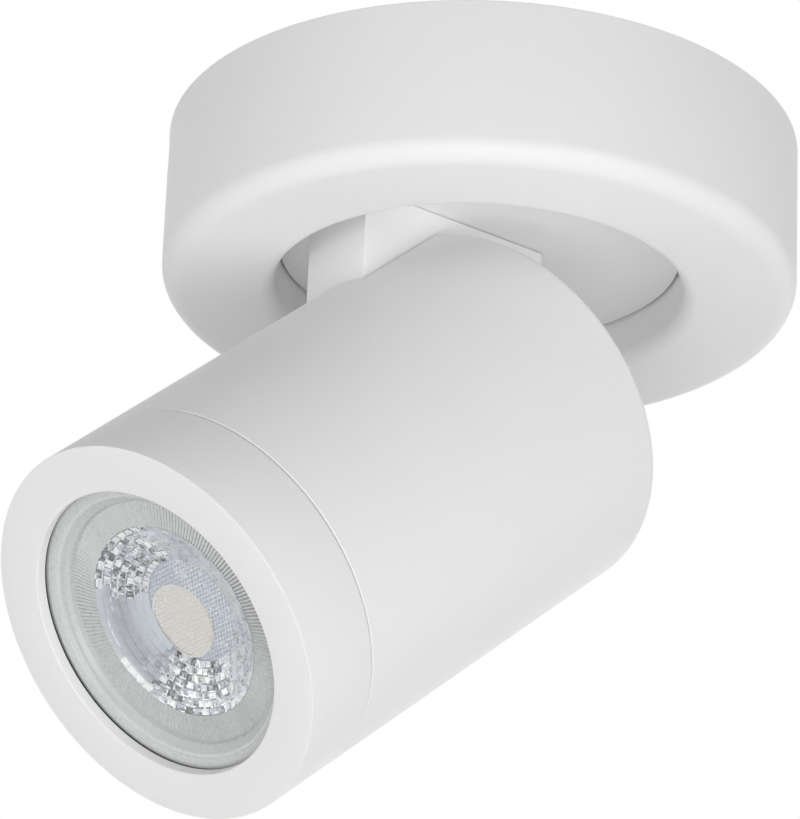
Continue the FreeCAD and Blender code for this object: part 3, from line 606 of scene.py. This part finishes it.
def makeGasket():
    size = gasket
    front = bezelLow.z + bezelRing["lip"]
    back = front + size["thick"]
    ring = lathe([(size["inner"], front, 0), (size["outer"], front, 0), (size["outer"], back, 0),
                  (size["inner"], back, size["edge"])], 192, 2)
    return finishPiece("bezelGasket", ring, headPlace, "bezel_slide", paints["blackSilicone"], ["bezel_gasket"])


wiringPlace = Matrix.Rotation(math.radians(baseShell["screwAngle"]), 4, "Z")
screwLooks = {
    "terminal": {"head": 1.25 * mm, "slot": 0.45 * mm, "slotDepth": 0.7 * mm, "crown": 0.15 * mm},
    "fixing": {"slot": 0.55 * mm, "slotDepth": 0.6 * mm, "crown": 0.5 * mm, "shank": 1.25 * mm},
    "earth": {"slot": 0.8 * mm, "slotDepth": 1.2 * mm, "crown": 1.0 * mm, "shank": 2.0 * mm},
    "cover": {"slot": 0.7 * mm, "slotDepth": 0.6 * mm, "crown": 0.3 * mm, "shank": 2.0 * mm, "reach": 8.8 * mm},
}


def slottedScrew(look, head, low, underHead, top, turn):
    shank = look.get("shank", head)
    profile = [(0, top, 0), (head, top, look["crown"])]
    if shank < head:
        profile += [(head, underHead, 0.1 * mm), (shank, underHead, 0)]
    screw = lathe(profile + [(shank, low, 0.15 * mm), (0, low, 0)], 48, 4)
    cutter = bmesh.new()
    half = look["slot"] / 2
    made = addBox(cutter, (-head - 1 * mm, -half, top - look["slotDepth"]), (head + 1 * mm, half, top + 1 * mm))
    bmesh.ops.rotate(cutter, cent=(0, 0, 0), matrix=Matrix.Rotation(math.radians(turn), 3, "Z"), verts=made)
    return cutOut(screw, [cutter])


def makeTerminalScrews():
    low, high = nodeSpan("terminal_screws", wiringPlace)
    look = screwLooks["terminal"]
    radius = look["head"]
    whole = bmesh.new()
    turn = 20
    for x in (low.x + radius, (low.x + high.x) / 2, high.x - radius):
        for y in (low.y + radius, high.y - radius):
            screw = slottedScrew(look, radius, low.z, low.z, high.z, turn)
            mergeIn(whole, screw, wiringPlace @ Matrix.Translation((x, y, 0)))
            turn += 47
    return finishPiece("terminalScrews", whole, basePlace, "base", paints["zincPlate"], ["terminal_screws"])


def makeFixingScrews():
    low, high = nodeSpan("terminal_fixing_screws", wiringPlace)
    blockTop = nodeSpan("terminal_block", wiringPlace)[1].z
    head = (high.y - low.y) / 2
    whole = bmesh.new()
    for x, turn in ((low.x + head, 35), (high.x - head, 110)):
        screw = slottedScrew(screwLooks["fixing"], head, low.z, blockTop, high.z, turn)
        mergeIn(whole, screw, wiringPlace @ Matrix.Translation((x, (low.y + high.y) / 2, 0)))
    return finishPiece("terminalFixingScrews", whole, basePlace, "base", paints["zincPlate"],
                       ["terminal_fixing_screws"])


def makeEarthScrew():
    low, high = nodeSpan("earth_screw", basePlace)
    washerTop = nodeSpan("earth_washer", basePlace)[1].z
    screw = slottedScrew(screwLooks["earth"], (high.x - low.x) / 2, low.z, washerTop, high.z, 75)
    bmesh.ops.translate(screw, vec=((low.x + high.x) / 2, (low.y + high.y) / 2, 0), verts=screw.verts)
    return finishPiece("earthScrew", screw, basePlace, "base", paints["brassBare"], ["earth_screw"])


toothedWasher = {"bore": 2.05 * mm, "root": 3.75 * mm, "teeth": 12, "lift": 0.22 * mm}


def makeEarthWasher():
    size = toothedWasher
    low, high = nodeSpan("earth_washer", basePlace)
    tip = (high.x - low.x) / 2
    steps = size["teeth"] * 8
    washer = lathe([(size["bore"], low.z, 0), (size["root"], low.z, 0), (tip, low.z + size["lift"], 0),
                    (tip, high.z - size["lift"], 0), (size["root"], high.z, 0), (size["bore"], high.z, 0)], steps)
    for vertex in washer.verts:
        step = round(math.atan2(vertex.co.y, vertex.co.x) / fullTurn * steps) % 8
        if vertex.co.xy.length > size["root"] + 0.1 * mm:
            if step in (4, 5, 6, 7):
                vertex.co.xy *= (size["root"] + 0.05 * mm) / tip
            else:
                vertex.co.z += size["lift"] * (step - 1.5) / 1.5
    bmesh.ops.translate(washer, vec=((low.x + high.x) / 2, (low.y + high.y) / 2, 0), verts=washer.verts)
    return finishPiece("earthWasher", washer, basePlace, "base", paints["zincPlate"], ["earth_washer"])


def makeCoverScrews():
    # The screws lie along X in the bracket's frame, one each side.
    low, high = nodeSpan("cover_screws", wiringPlace)
    head = (high.y - low.y) / 2
    whole = bmesh.new()
    for side in (1, -1):
        lying = Matrix.Translation((0, 0, -baseShell["screwDrop"])) @ Matrix.Rotation(side * math.pi / 2, 4, "Y")
        look = screwLooks["cover"]
        screw = slottedScrew(look, head, baseRadius - look["reach"], baseRadius - baseShell["seatDepth"], high.x, 30)
        mergeIn(whole, screw, wiringPlace @ lying)
    return finishPiece("coverScrews", whole, basePlace, "base", paints["whiteCoat"], ["cover_screws"])


hollowBolt = {"bore": 3.3 * mm, "pitch": 1.0 * mm, "depth": 0.45 * mm, "chamfer": 0.5 * mm, "lip": 0.3 * mm}


def makeHollowBolt():
    size = hollowBolt
    low, high = nodeSpan("hollow_bolt", basePlace)
    radius = high.x
    span = (low.z + 0.3 * mm, high.z - 0.6 * mm)
    bolt = lathe([(size["bore"], low.z, size["lip"]), (radius, low.z, 0), *threadRows(radius, *span, size["pitch"]),
                  (radius, high.z, size["chamfer"]), (size["bore"], high.z, size["lip"])], 96, 3)
    windThread(bolt, radius, *span, size["pitch"], size["depth"])
    return finishPiece("hollowBolt", bolt, basePlace, "swivel", paints["zincPlate"], ["hollow_bolt"])


swivelNut = {"flats": 14.0 * mm, "slant": 0.577, "bore": 5.0 * mm}


def makeSwivelNut():
    size = swivelNut
    low, high = nodeSpan("swivel_nut", basePlace)
    flat = size["flats"] / 2
    corner = flat / math.cos(math.pi / 6)
    nut = bmesh.new()
    place = Matrix.Translation((0, 0, (low.z + high.z) / 2))
    bmesh.ops.create_cone(nut, cap_ends=True, segments=6, radius1=corner, radius2=corner,
                          depth=high.z - low.z, matrix=place)
    # create_cone starts at +Y; the CAD nut has a corner on +X.
    bmesh.ops.rotate(nut, cent=(0, 0, 0), matrix=Matrix.Rotation(math.pi / 2, 3, "Z"), verts=nut.verts)
    bore = bmesh.new()
    bmesh.ops.create_cone(bore, cap_ends=True, segments=96, radius1=size["bore"], radius2=size["bore"],
                          depth=20 * mm, matrix=place)
    cutters = [bore]
    for level, side in ((high.z, 1), (low.z, -1)):
        inner, outer = flat - 0.3 * mm, corner + 0.5 * mm
        cutters.append(lathe([(inner, level + side * 0.3 * size["slant"] * mm, 0),
                              (outer, level - side * (outer - flat) * size["slant"], 0),
                              (outer, level + side * 1 * mm, 0)], 96))
    nut = cutOut(nut, cutters)
    return finishPiece("swivelNut", nut, basePlace, "swivel", paints["zincPlate"], ["swivel_nut"])


softEdges = {"terminal_block": 0.25 * mm, "mounting_bracket": 0.18 * mm}


def softenNode(node, name, body, paint):
    # A merged copy of a CAD node with its sharp edges broken.
    bm = bmesh.new()
    bm.from_mesh(nodes[node].data)
    bmesh.ops.remove_doubles(bm, verts=bm.verts, dist=1e-6)
    bmesh.ops.dissolve_limit(bm, angle_limit=math.radians(1), use_dissolve_boundaries=False, verts=bm.verts,
                             edges=bm.edges)
    bmesh.ops.recalc_face_normals(bm, faces=bm.faces)
    sharp = [edge for edge in bm.edges if len(edge.link_faces) == 2 and edge.calc_face_angle() > math.radians(50)]
    bmesh.ops.bevel(bm, geom=sharp, offset=softEdges[node], offset_type="OFFSET", affect="EDGES", segments=2,
                    profile=0.5, clamp_overlap=True, material=-1)
    return finishPiece(name, bm, basePlace, body, paint, [node])


makeTerminalScrews()
makeFixingScrews()
makeEarthScrew()
makeEarthWasher()
makeCoverScrews()
makeHollowBolt()
makeSwivelNut()
softenNode("terminal_block", "terminalBlock", "base", paints["blockPlastic"])
softenNode("mounting_bracket", "mountingBracket", "base", paints["zincPlate"])
print("fasteners and wiring parts made")

makeBaseShell()
makeSwivelDisc()
makeTiltArm()
makeHeadCan()
makeBezelRing()
makeGasket()
print("castings made")


lampFront = housingLow.z
lensDisc = {"radius": 23.95 * mm, "edge": 0.02 * mm, "thick": 0.06 * mm}


def makeLensDisc():
    size = lensDisc
    back = lampFront + size["thick"]
    disc = lathe([(0, lampFront, 0), (size["radius"], lampFront, size["edge"]), (size["radius"], back, 0),
                  (0, back, 0)], 180, 3)
    return finishPiece("lensDisc", disc, headPlace, "lamp", paints["clearPlastic"], ["lamp_lens"])


def setTones(bm, tones):
    layer = bm.faces.layers.float.new("tone")
    for face, tone in zip(bm.faces, tones):
        face[layer] = tone


def faceFront(bm):
    for face in bm.faces:
        face.normal_update()
        if face.normal.z > 0:
            face.normal_flip()


def turnDegrees(point):
    return math.degrees(math.atan2(point.y, point.x))


def bandValue(degrees, bands):
    # Reads a value from angle bands, with a straight run between their middles.
    for (nearAngle, near), (farAngle, far) in zip(bands, bands[1:]):
        if nearAngle <= degrees <= farAngle:
            return near + (far - near) * (degrees - nearAngle) / (farAngle - nearAngle)
    return bands[-1][1]


# Rim steps with their painted tones, then angle bands of painted reflection and painted rib shade.
lensRibs = {"outer": 19.3 * mm, "inner": 15.3 * mm, "count": 190, "depth": 2.2 * mm, "height": 0.2 * mm, "seed": 7,
            "rim": ((23.95 * mm, 0.09 * mm, 0.63), (22.5 * mm, 0.12 * mm, 0.58), (22.4 * mm, 0.25 * mm, 0.67),
                    (21.4 * mm, 0.35 * mm, 0.61),
                    (21.25 * mm, 0.5 * mm, 0.68), (20.75 * mm, 0.6 * mm, 0.6), (20.6 * mm, 0.75 * mm, 0.54),
                    (20.15 * mm, 1.0 * mm, 0.61), (19.6 * mm, 1.6 * mm, 0.57)),
            "paintedBandTone": ((-180, 0.59), (-150, 0.47), (-90, 0.39), (-40, 0.45), (20, 0.55), (60, 0.67), (130, 0.66),
                     (180, 0.59)),
            "paintedRibContrast": ((-180, 0.05), (-150, 0.14), (-100, 0.22), (-50, 0.22), (-30, 0.27), (15, 0.24), (35, 0.12),
                         (60, 0.22),
                         (110, 0.22), (135, 0.13), (160, 0.07), (180, 0.05))}


def makeLensRibs():
    # A stepped clear rim seen from in front, then a ring of fine radial ribs. Their tones are painted reflections: each
    # rim step has a painted tone, and alternate rib sides are painted lighter and darker, more so in some angle bands.
    size = lensRibs
    bm = bmesh.new()
    steps = size["count"] * 2
    ribSpan = [(size["outer"], size["depth"]), (size["inner"], size["depth"])]
    profile = [(radius, depth) for radius, depth, tone in size["rim"]] + ribSpan
    points = [bm.verts.new((radius, 0, lampFront + depth)) for radius, depth in profile]
    edges = [bm.edges.new(pair) for pair in zip(points, points[1:])]
    bmesh.ops.spin(bm, geom=points + edges, cent=(0, 0, 0), axis=(0, 0, 1), angle=fullTurn, steps=steps, use_merge=True)
    bmesh.ops.remove_doubles(bm, verts=bm.verts, dist=1e-7)
    ridges = []
    for vertex in bm.verts:
        step = round(math.atan2(vertex.co.y, vertex.co.x) / fullTurn * steps) % 2
        if step and vertex.co.xy.length < size["outer"] + 0.01 * mm:
            ridges.append(vertex)
    bmesh.ops.translate(bm, vec=(0, 0, size["height"]), verts=ridges)
    random.seed(size["seed"])
    tones = []
    for face in bm.faces:
        middle = face.calc_center_median()
        step = int((math.atan2(middle.y, middle.x) % fullTurn) / fullTurn * steps)
        degrees = turnDegrees(middle)
        if middle.xy.length < size["outer"]:
            # Painted light and shade: alternate rib sides are lifted or lowered in tone by an amount read from the
            # angle bands.
            lift = bandValue(degrees, size["paintedRibContrast"]) * (-1 if step % 2 else 1)
            tones.append(bandValue(degrees, size["paintedBandTone"]) + lift + random.uniform(-0.02, 0.02))
        else:
            outside = [tone for radius, depth, tone in size["rim"] if radius > middle.xy.length]
            tones.append(outside[-1] if outside else size["rim"][0][2])
    setTones(bm, tones)
    faceFront(bm)
    return finishPiece("lensRibs", bm, headPlace, "lamp", paints["ribbedPaintedReflections"], closed=False, sharpAngle=5)


lensBowl = {"rings": 7, "count": 56, "streaks": (0.0, 0.13, 0.42, 0.72, 1.0), "rows": (0.0, 0.16, 0.5, 0.84, 0.93),
            "slope": 0.75, "outer": 15.3 * mm, "inner": 8.2 * mm, "top": 2.25 * mm, "bottom": 6.3 * mm,
            "seed": 11, "paintedGlintLobes": (-112, 112), "paintedGlintLobeHalf": 33,
            "paintedQuietBand": ((0, 0.57), (0.9, 0.54), (1.7, 0.43), (3.0, 0.39), (4.0, 0.44), (4.9, 0.54), (7, 0.62))}
# Kinds of painted reflection for the facets: body tone and spread, the tone and odds of painted edge lines, and of
# painted step lines.
facetKinds = {
    "paintedBright": {"body": 0.86, "spread": 0.12, "line": 0.26, "lineOdds": 0.8, "step": 1.0, "stepOdds": 0.4},
    "paintedPaleReflection": {"body": 0.62, "spread": 0.22, "line": 0.3, "lineOdds": 0.8, "step": 1.0, "stepOdds": 0.5},
    "paintedDimReflection": {"body": 0.41, "spread": 0.2, "line": 0.97, "lineOdds": 0.5, "step": 1.0, "stepOdds": 0.55},
    "paintedDarkReflection": {"body": 0.28, "spread": 0.16, "line": 0.95, "lineOdds": 0.45, "step": 0.97, "stepOdds": 0.5},
    "paintedSparkle": {"body": 0.66, "spread": 0.16, "line": 1.0, "lineOdds": 0.45, "step": 1.0, "stepOdds": 0.6},
    "paintedHazyReflection": {"body": 0.60, "spread": 0.12, "line": 0.9, "lineOdds": 0.35, "step": 0.97, "stepOdds": 0.35},
    "shady": {"body": 0.42, "spread": 0.05, "line": 0.5, "lineOdds": 0.3, "step": 0.6, "stepOdds": 0.15},
    "paintedQuietBand": {"body": 0.0, "spread": 0.012, "line": 0.0, "lineOdds": 0.0, "step": 1.0, "stepOdds": 0.22},
    "paintedGreenGlint": {"body": 0.93, "spread": 0.05, "line": 0.6, "lineOdds": 0.6, "step": 0.9, "stepOdds": 1.0},
}


def facetKind(degrees, ring):
    # Painted reflections: two lobes of painted glints, calm bands and bands of painted shade on one side, and painted
    # sparkle on the other.
    size = lensBowl
    away = min(abs(degrees - lobe) for lobe in size["paintedGlintLobes"])
    if away < size["paintedGlintLobeHalf"] + random.uniform(-6, 6):
        if degrees > 118:
            return random.choice(("paintedBright", "paintedPaleReflection", "paintedDimReflection", "paintedDimReflection", "paintedDarkReflection", "paintedDarkReflection"))
        return random.choice(("paintedBright", "paintedBright", "paintedPaleReflection", "paintedPaleReflection", "paintedDimReflection", "paintedDimReflection", "paintedDarkReflection"))
    if abs(degrees) > 120:
        if ring == 0 and 147 < degrees < 172:
            return "paintedGreenGlint"
        return "shady" if degrees > 0 and degrees < 172 - 3 * ring and ring > 1 else "paintedQuietBand"
    return "paintedHazyReflection" if -85 < degrees < -48 else "paintedSparkle"


def makeLensBowl():
    # Rings of small facets that step down towards the middle, each a grid of cells with thin edge cells. Their tones
    # are painted reflections and glints, with painted edge and step lines.
    size = lensBowl
    bm = bmesh.new()
    random.seed(size["seed"])
    run = (size["outer"] - size["inner"]) / size["rings"]
    drop = (size["bottom"] - size["top"]) / size["rings"]
    slope = size["slope"]
    facetTurn = fullTurn / size["count"]
    tones = []
    for ring in range(size["rings"]):
        outer = size["outer"] - ring * run
        depth = lampFront + size["top"] + ring * drop
        levels = [(outer - run * row, depth + slope * drop * row) for row in size["rows"]]
        levels.append((outer - run, depth + drop))
        for i in range(size["count"]):
            facet = (i + 0.5 * (ring % 2)) * facetTurn
            kindName = facetKind(((math.degrees(facet) + 180) % 360) - 180, ring)
            kind = facetKinds[kindName]
            body = kind["body"] + random.uniform(-1, 1) * kind["spread"]
            dashed = random.random() < kind["stepOdds"]
            for part, (begin, finish) in enumerate(zip(size["streaks"], size["streaks"][1:])):
                start, end = facet + begin * facetTurn, facet + finish * facetTurn
                corners = [[bm.verts.new((radius * math.cos(turn), radius * math.sin(turn), z))
                            for turn in (start, end)] for radius, z in levels]
                for near, far in zip(corners, corners[1:]):
                    bm.faces.new((near[0], near[1], far[1], far[0]))
                for row in range(len(levels) - 1):
                    tone = body + random.uniform(-1.3, 1.3) * kind["spread"]
                    if kindName == "paintedQuietBand":
                        tone += bandValue(ring + (0.1, 0.35, 0.7, 0.9, 1.0)[row], size["paintedQuietBand"])
                    if (part == 0 or row == 0) and random.random() < kind["lineOdds"]:
                        tone = kind["line"] + random.uniform(-0.1, 0.1)
                    if row == 4 and dashed and (part in (1, 2) or kindName != "paintedQuietBand"):
                        tone = kind["step"]
                    tones.append(tone)
    setTones(bm, tones)
    faceFront(bm)
    return finishPiece("lensBowl", bm, headPlace, "lamp", paints["facetPaintedReflections"], closed=False, sharpAngle=2)


lensDimples = {"reach": 8.7 * mm, "pitch": 0.7 * mm, "press": 0.16 * mm, "depth": 6.35 * mm,
               "paintedGlow": (-3.0 * mm, 0.9 * mm), "paintedGlowRadius": 5.9 * mm, "paintedGlowRim": 0.35 * mm, "paintedWarmFrom": -15,
               "paintedWarmTo": 65, "seed": 3}


def makeLensDimples():
    # Six-sided dimples in rows, each with its middle pressed in. The chip's warm image is painted into them off centre,
    # and outside it each dimple is painted lighter on one side and darker on the other.
    size = lensDimples
    bm = bmesh.new()
    depth = lampFront + size["depth"]
    pitch = size["pitch"]
    rowStep = pitch * math.sqrt(3) / 2
    rows = int(size["reach"] / rowStep) + 1
    for row in range(-rows, rows + 1):
        for column in range(-rows - 2, rows + 3):
            x = (column + 0.5 * (row % 2)) * pitch
            y = row * rowStep
            if math.hypot(x, y) < size["reach"]:
                place = Matrix.Translation((x, y, depth)) @ Matrix.Rotation(math.radians(30), 4, "Z")
                cell = bmesh.ops.create_circle(bm, cap_ends=True, segments=6, radius=pitch / math.sqrt(3),
                                               matrix=place)["verts"]
                poked = bmesh.ops.poke(bm, faces=list({face for vertex in cell for face in vertex.link_faces}))
                bmesh.ops.translate(bm, vec=(0, 0, size["press"]), verts=poked["verts"])
    bm.normal_update()
    random.seed(size["seed"])
    paintedGlow = Vector(size["paintedGlow"])
    tones = []
    for face in bm.faces:
        middle = face.calc_center_median()
        slant = face.normal.xy.normalized()
        # Painted light and shade: the dimple sides that slant one way are painted lighter, the others darker.
        side = slant.x * 0.8 + slant.y * 0.6
        inPaintedGlow = (middle.xy - paintedGlow).length < size["paintedGlowRadius"]
        # Painted image of the chip: warm cream tones inside this circle.
        if inPaintedGlow:
            tones.append(0.92 + 0.07 * side + random.uniform(-0.03, 0.03))
        else:
            # Painted sparkle: cells more than 4 mm to the +X side of the chip's image are painted lighter, one in ten
            # set to a fixed light tone.
            paintedBright = 0.1 if middle.x > paintedGlow.x + 4 * mm else 0
            paintedLit = 0.44 + paintedBright + (0.17 + paintedBright) * side + random.uniform(-0.1, 0.1)
            tones.append(min(0.63, paintedLit) if random.random() > paintedBright else 0.66)
    setTones(bm, tones)
    faceFront(bm)
    return finishPiece("lensDimples", bm, headPlace, "lamp", paints["dimplePaintedLight"], closed=False, sharpAngle=20)


def makePaintedGlowRim():
    # A painted highlight: the fine rim of the chip's painted image, painted warmer on its far side.
    size = lensDimples
    outer, inner = size["paintedGlowRadius"], size["paintedGlowRadius"] - size["paintedGlowRim"]
    depth = lampFront + size["depth"] - 0.02 * mm
    bm = bmesh.new()
    points = [bm.verts.new((radius, 0, depth)) for radius in (outer, (outer + inner) / 2, inner)]
    edges = [bm.edges.new(pair) for pair in zip(points, points[1:])]
    bmesh.ops.spin(bm, geom=points + edges, cent=(0, 0, 0), axis=(0, 0, 1), angle=fullTurn, steps=144, use_merge=True)
    tones = []
    for face in bm.faces:
        degrees = turnDegrees(face.calc_center_median())
        rim = 0.73 if size["paintedWarmFrom"] < degrees < size["paintedWarmTo"] else (0.64 if abs(degrees) > 120 else 0.9)
        tones.append(rim + random.uniform(-0.03, 0.03))
    bmesh.ops.translate(bm, vec=(*size["paintedGlow"], 0), verts=bm.verts)
    setTones(bm, tones)
    faceFront(bm)
    return finishPiece("lensPaintedGlowRim", bm, headPlace, "lamp", paints["dimplePaintedLight"], closed=False, sharpAngle=20)


makeLensDisc()
makeLensRibs()
makeLensBowl()
makeLensDimples()
makePaintedGlowRim()
print("lamp lens made")


# Camera and light

camera = {"lens": 232, "distance": 842.7 * mm, "azimuth": 52.63, "elevation": -27.05, "roll": 1.942,
          "aimSide": 0.808, "aimUp": 2.836}


def makeCamera():
    turn, lift = math.radians(camera["azimuth"]), math.radians(camera["elevation"])
    away = Vector((math.sin(turn) * math.cos(lift), -math.cos(turn) * math.cos(lift), math.sin(lift)))
    spot = away * camera["distance"]
    forward = -away
    right = forward.cross(Vector((0, 0, 1))).normalized()
    above = right.cross(forward)
    looks = Matrix((right, -above, forward))
    aim = Matrix.Rotation(math.radians(camera["roll"]), 3, "Z")
    aim = aim @ Matrix.Rotation(math.radians(camera["aimSide"]), 3, "Y")
    aim = aim @ Matrix.Rotation(math.radians(camera["aimUp"]), 3, "X")
    looks = aim @ looks
    turned = Matrix((looks[0], -looks[1], -looks[2])).transposed()
    data = bpy.data.cameras.new("camera")
    data.lens = camera["lens"]
    data.sensor_width = 36
    data.clip_start = 0.01
    made = bpy.data.objects.new("camera", data)
    made.matrix_world = Matrix.Translation(spot) @ turned.to_4x4()
    bpy.context.scene.collection.objects.link(made)
    bpy.context.scene.camera = made


studio = {"world": 0.334, "floorDrop": 0.9, "floorSize": 6.0, "floorLift": 0.5}
softLights = {
    "lowSoft": {"place": (0.62, -0.50, -0.75), "size": 0.6, "power": 3.58},
    "rightSoft": {"place": (1.3, 0.1, -0.7), "size": 0.8, "power": 6.75},
    "leftSoft": {"place": (-0.9, -1.3, -0.4), "size": 1.2, "power": 1.9},
    "frontSoft": {"place": (0.1, -1.5, -0.42), "size": 0.7, "power": 3.1},
    "rearSoft": {"place": (0.3, 1.5, -0.3), "size": 1.2, "power": 0.9},
    "highSoft": {"place": (0.2, -0.8, 1.2), "size": 1.0, "power": 0.7},
    "farSoft": {"place": (-1.15, 1.15, 0.2), "size": 1.2, "power": 2.6},
    "topSoft": {"place": (-0.5, 0.6, 1.4), "size": 1.0, "power": 0.7},
}


def seenLevel(tree, unseen, seen):
    # One level for the light that the object gets, another for what the camera, gloss and glass show.
    path = tree.nodes.new("ShaderNodeLightPath")
    level = path.outputs["Is Camera Ray"]
    for ray in ("Is Transmission Ray", "Is Glossy Ray"):
        either = tree.nodes.new("ShaderNodeMath")
        either.operation = "MAXIMUM"
        tree.links.new(level, either.inputs[0])
        tree.links.new(path.outputs[ray], either.inputs[1])
        level = either.outputs[0]
    return remap(tree, level, unseen, seen, 0.0, 1.0)


def makeWorld():
    world = bpy.data.worlds.new("studio")
    bpy.context.scene.world = world
    world.use_nodes = True
    tree = world.node_tree
    background = tree.nodes["Background"]
    background.inputs["Color"].default_value = (1, 1, 1, 1)
    tree.links.new(seenLevel(tree, studio["world"], 1.0), background.inputs["Strength"])


def makeLights():
    for name, look in softLights.items():
        data = bpy.data.lights.new(name, "AREA")
        data.shape = "DISK"
        data.size = look["size"]
        data.energy = look["power"]
        light = bpy.data.objects.new(name, data)
        spot = Vector(look["place"])
        facing = (spot - Vector((0, 0, -0.05))).to_track_quat("Z", "Y").to_matrix().to_4x4()
        light.matrix_world = Matrix.Translation(spot) @ facing
        bpy.context.scene.collection.objects.link(light)


def makeFloor():
    bm = bmesh.new()
    bmesh.ops.create_grid(bm, x_segments=1, y_segments=1, size=studio["floorSize"] / 2,
                          matrix=Matrix.Translation((0, 0, -studio["floorDrop"])))
    mesh = bpy.data.meshes.new("floor")
    bm.to_mesh(mesh)
    bm.free()
    material, tree, shader = newMaterial("floorPale")
    cloud = noiseField(tree, objectCoords(tree), 3, 2)
    tree.links.new(colourRamp(tree, cloud, [(0.3, (0.84, 0.84, 0.84)), (0.7, (0.86, 0.86, 0.86))]),
                   shader.inputs["Base Color"])
    shader.inputs["Roughness"].default_value = 0.8
    shader.inputs["Emission Color"].default_value = (1, 1, 1, 1)
    tree.links.new(seenLevel(tree, 0.0, studio["floorLift"]), shader.inputs["Emission Strength"])
    mesh.materials.append(material)
    floor = bpy.data.objects.new("floor", mesh)
    bpy.context.scene.collection.objects.link(floor)


makeCamera()
makeWorld()
makeLights()
makeFloor()
bpy.context.scene.view_settings.view_transform = "Standard"
print("camera, light and floor made")
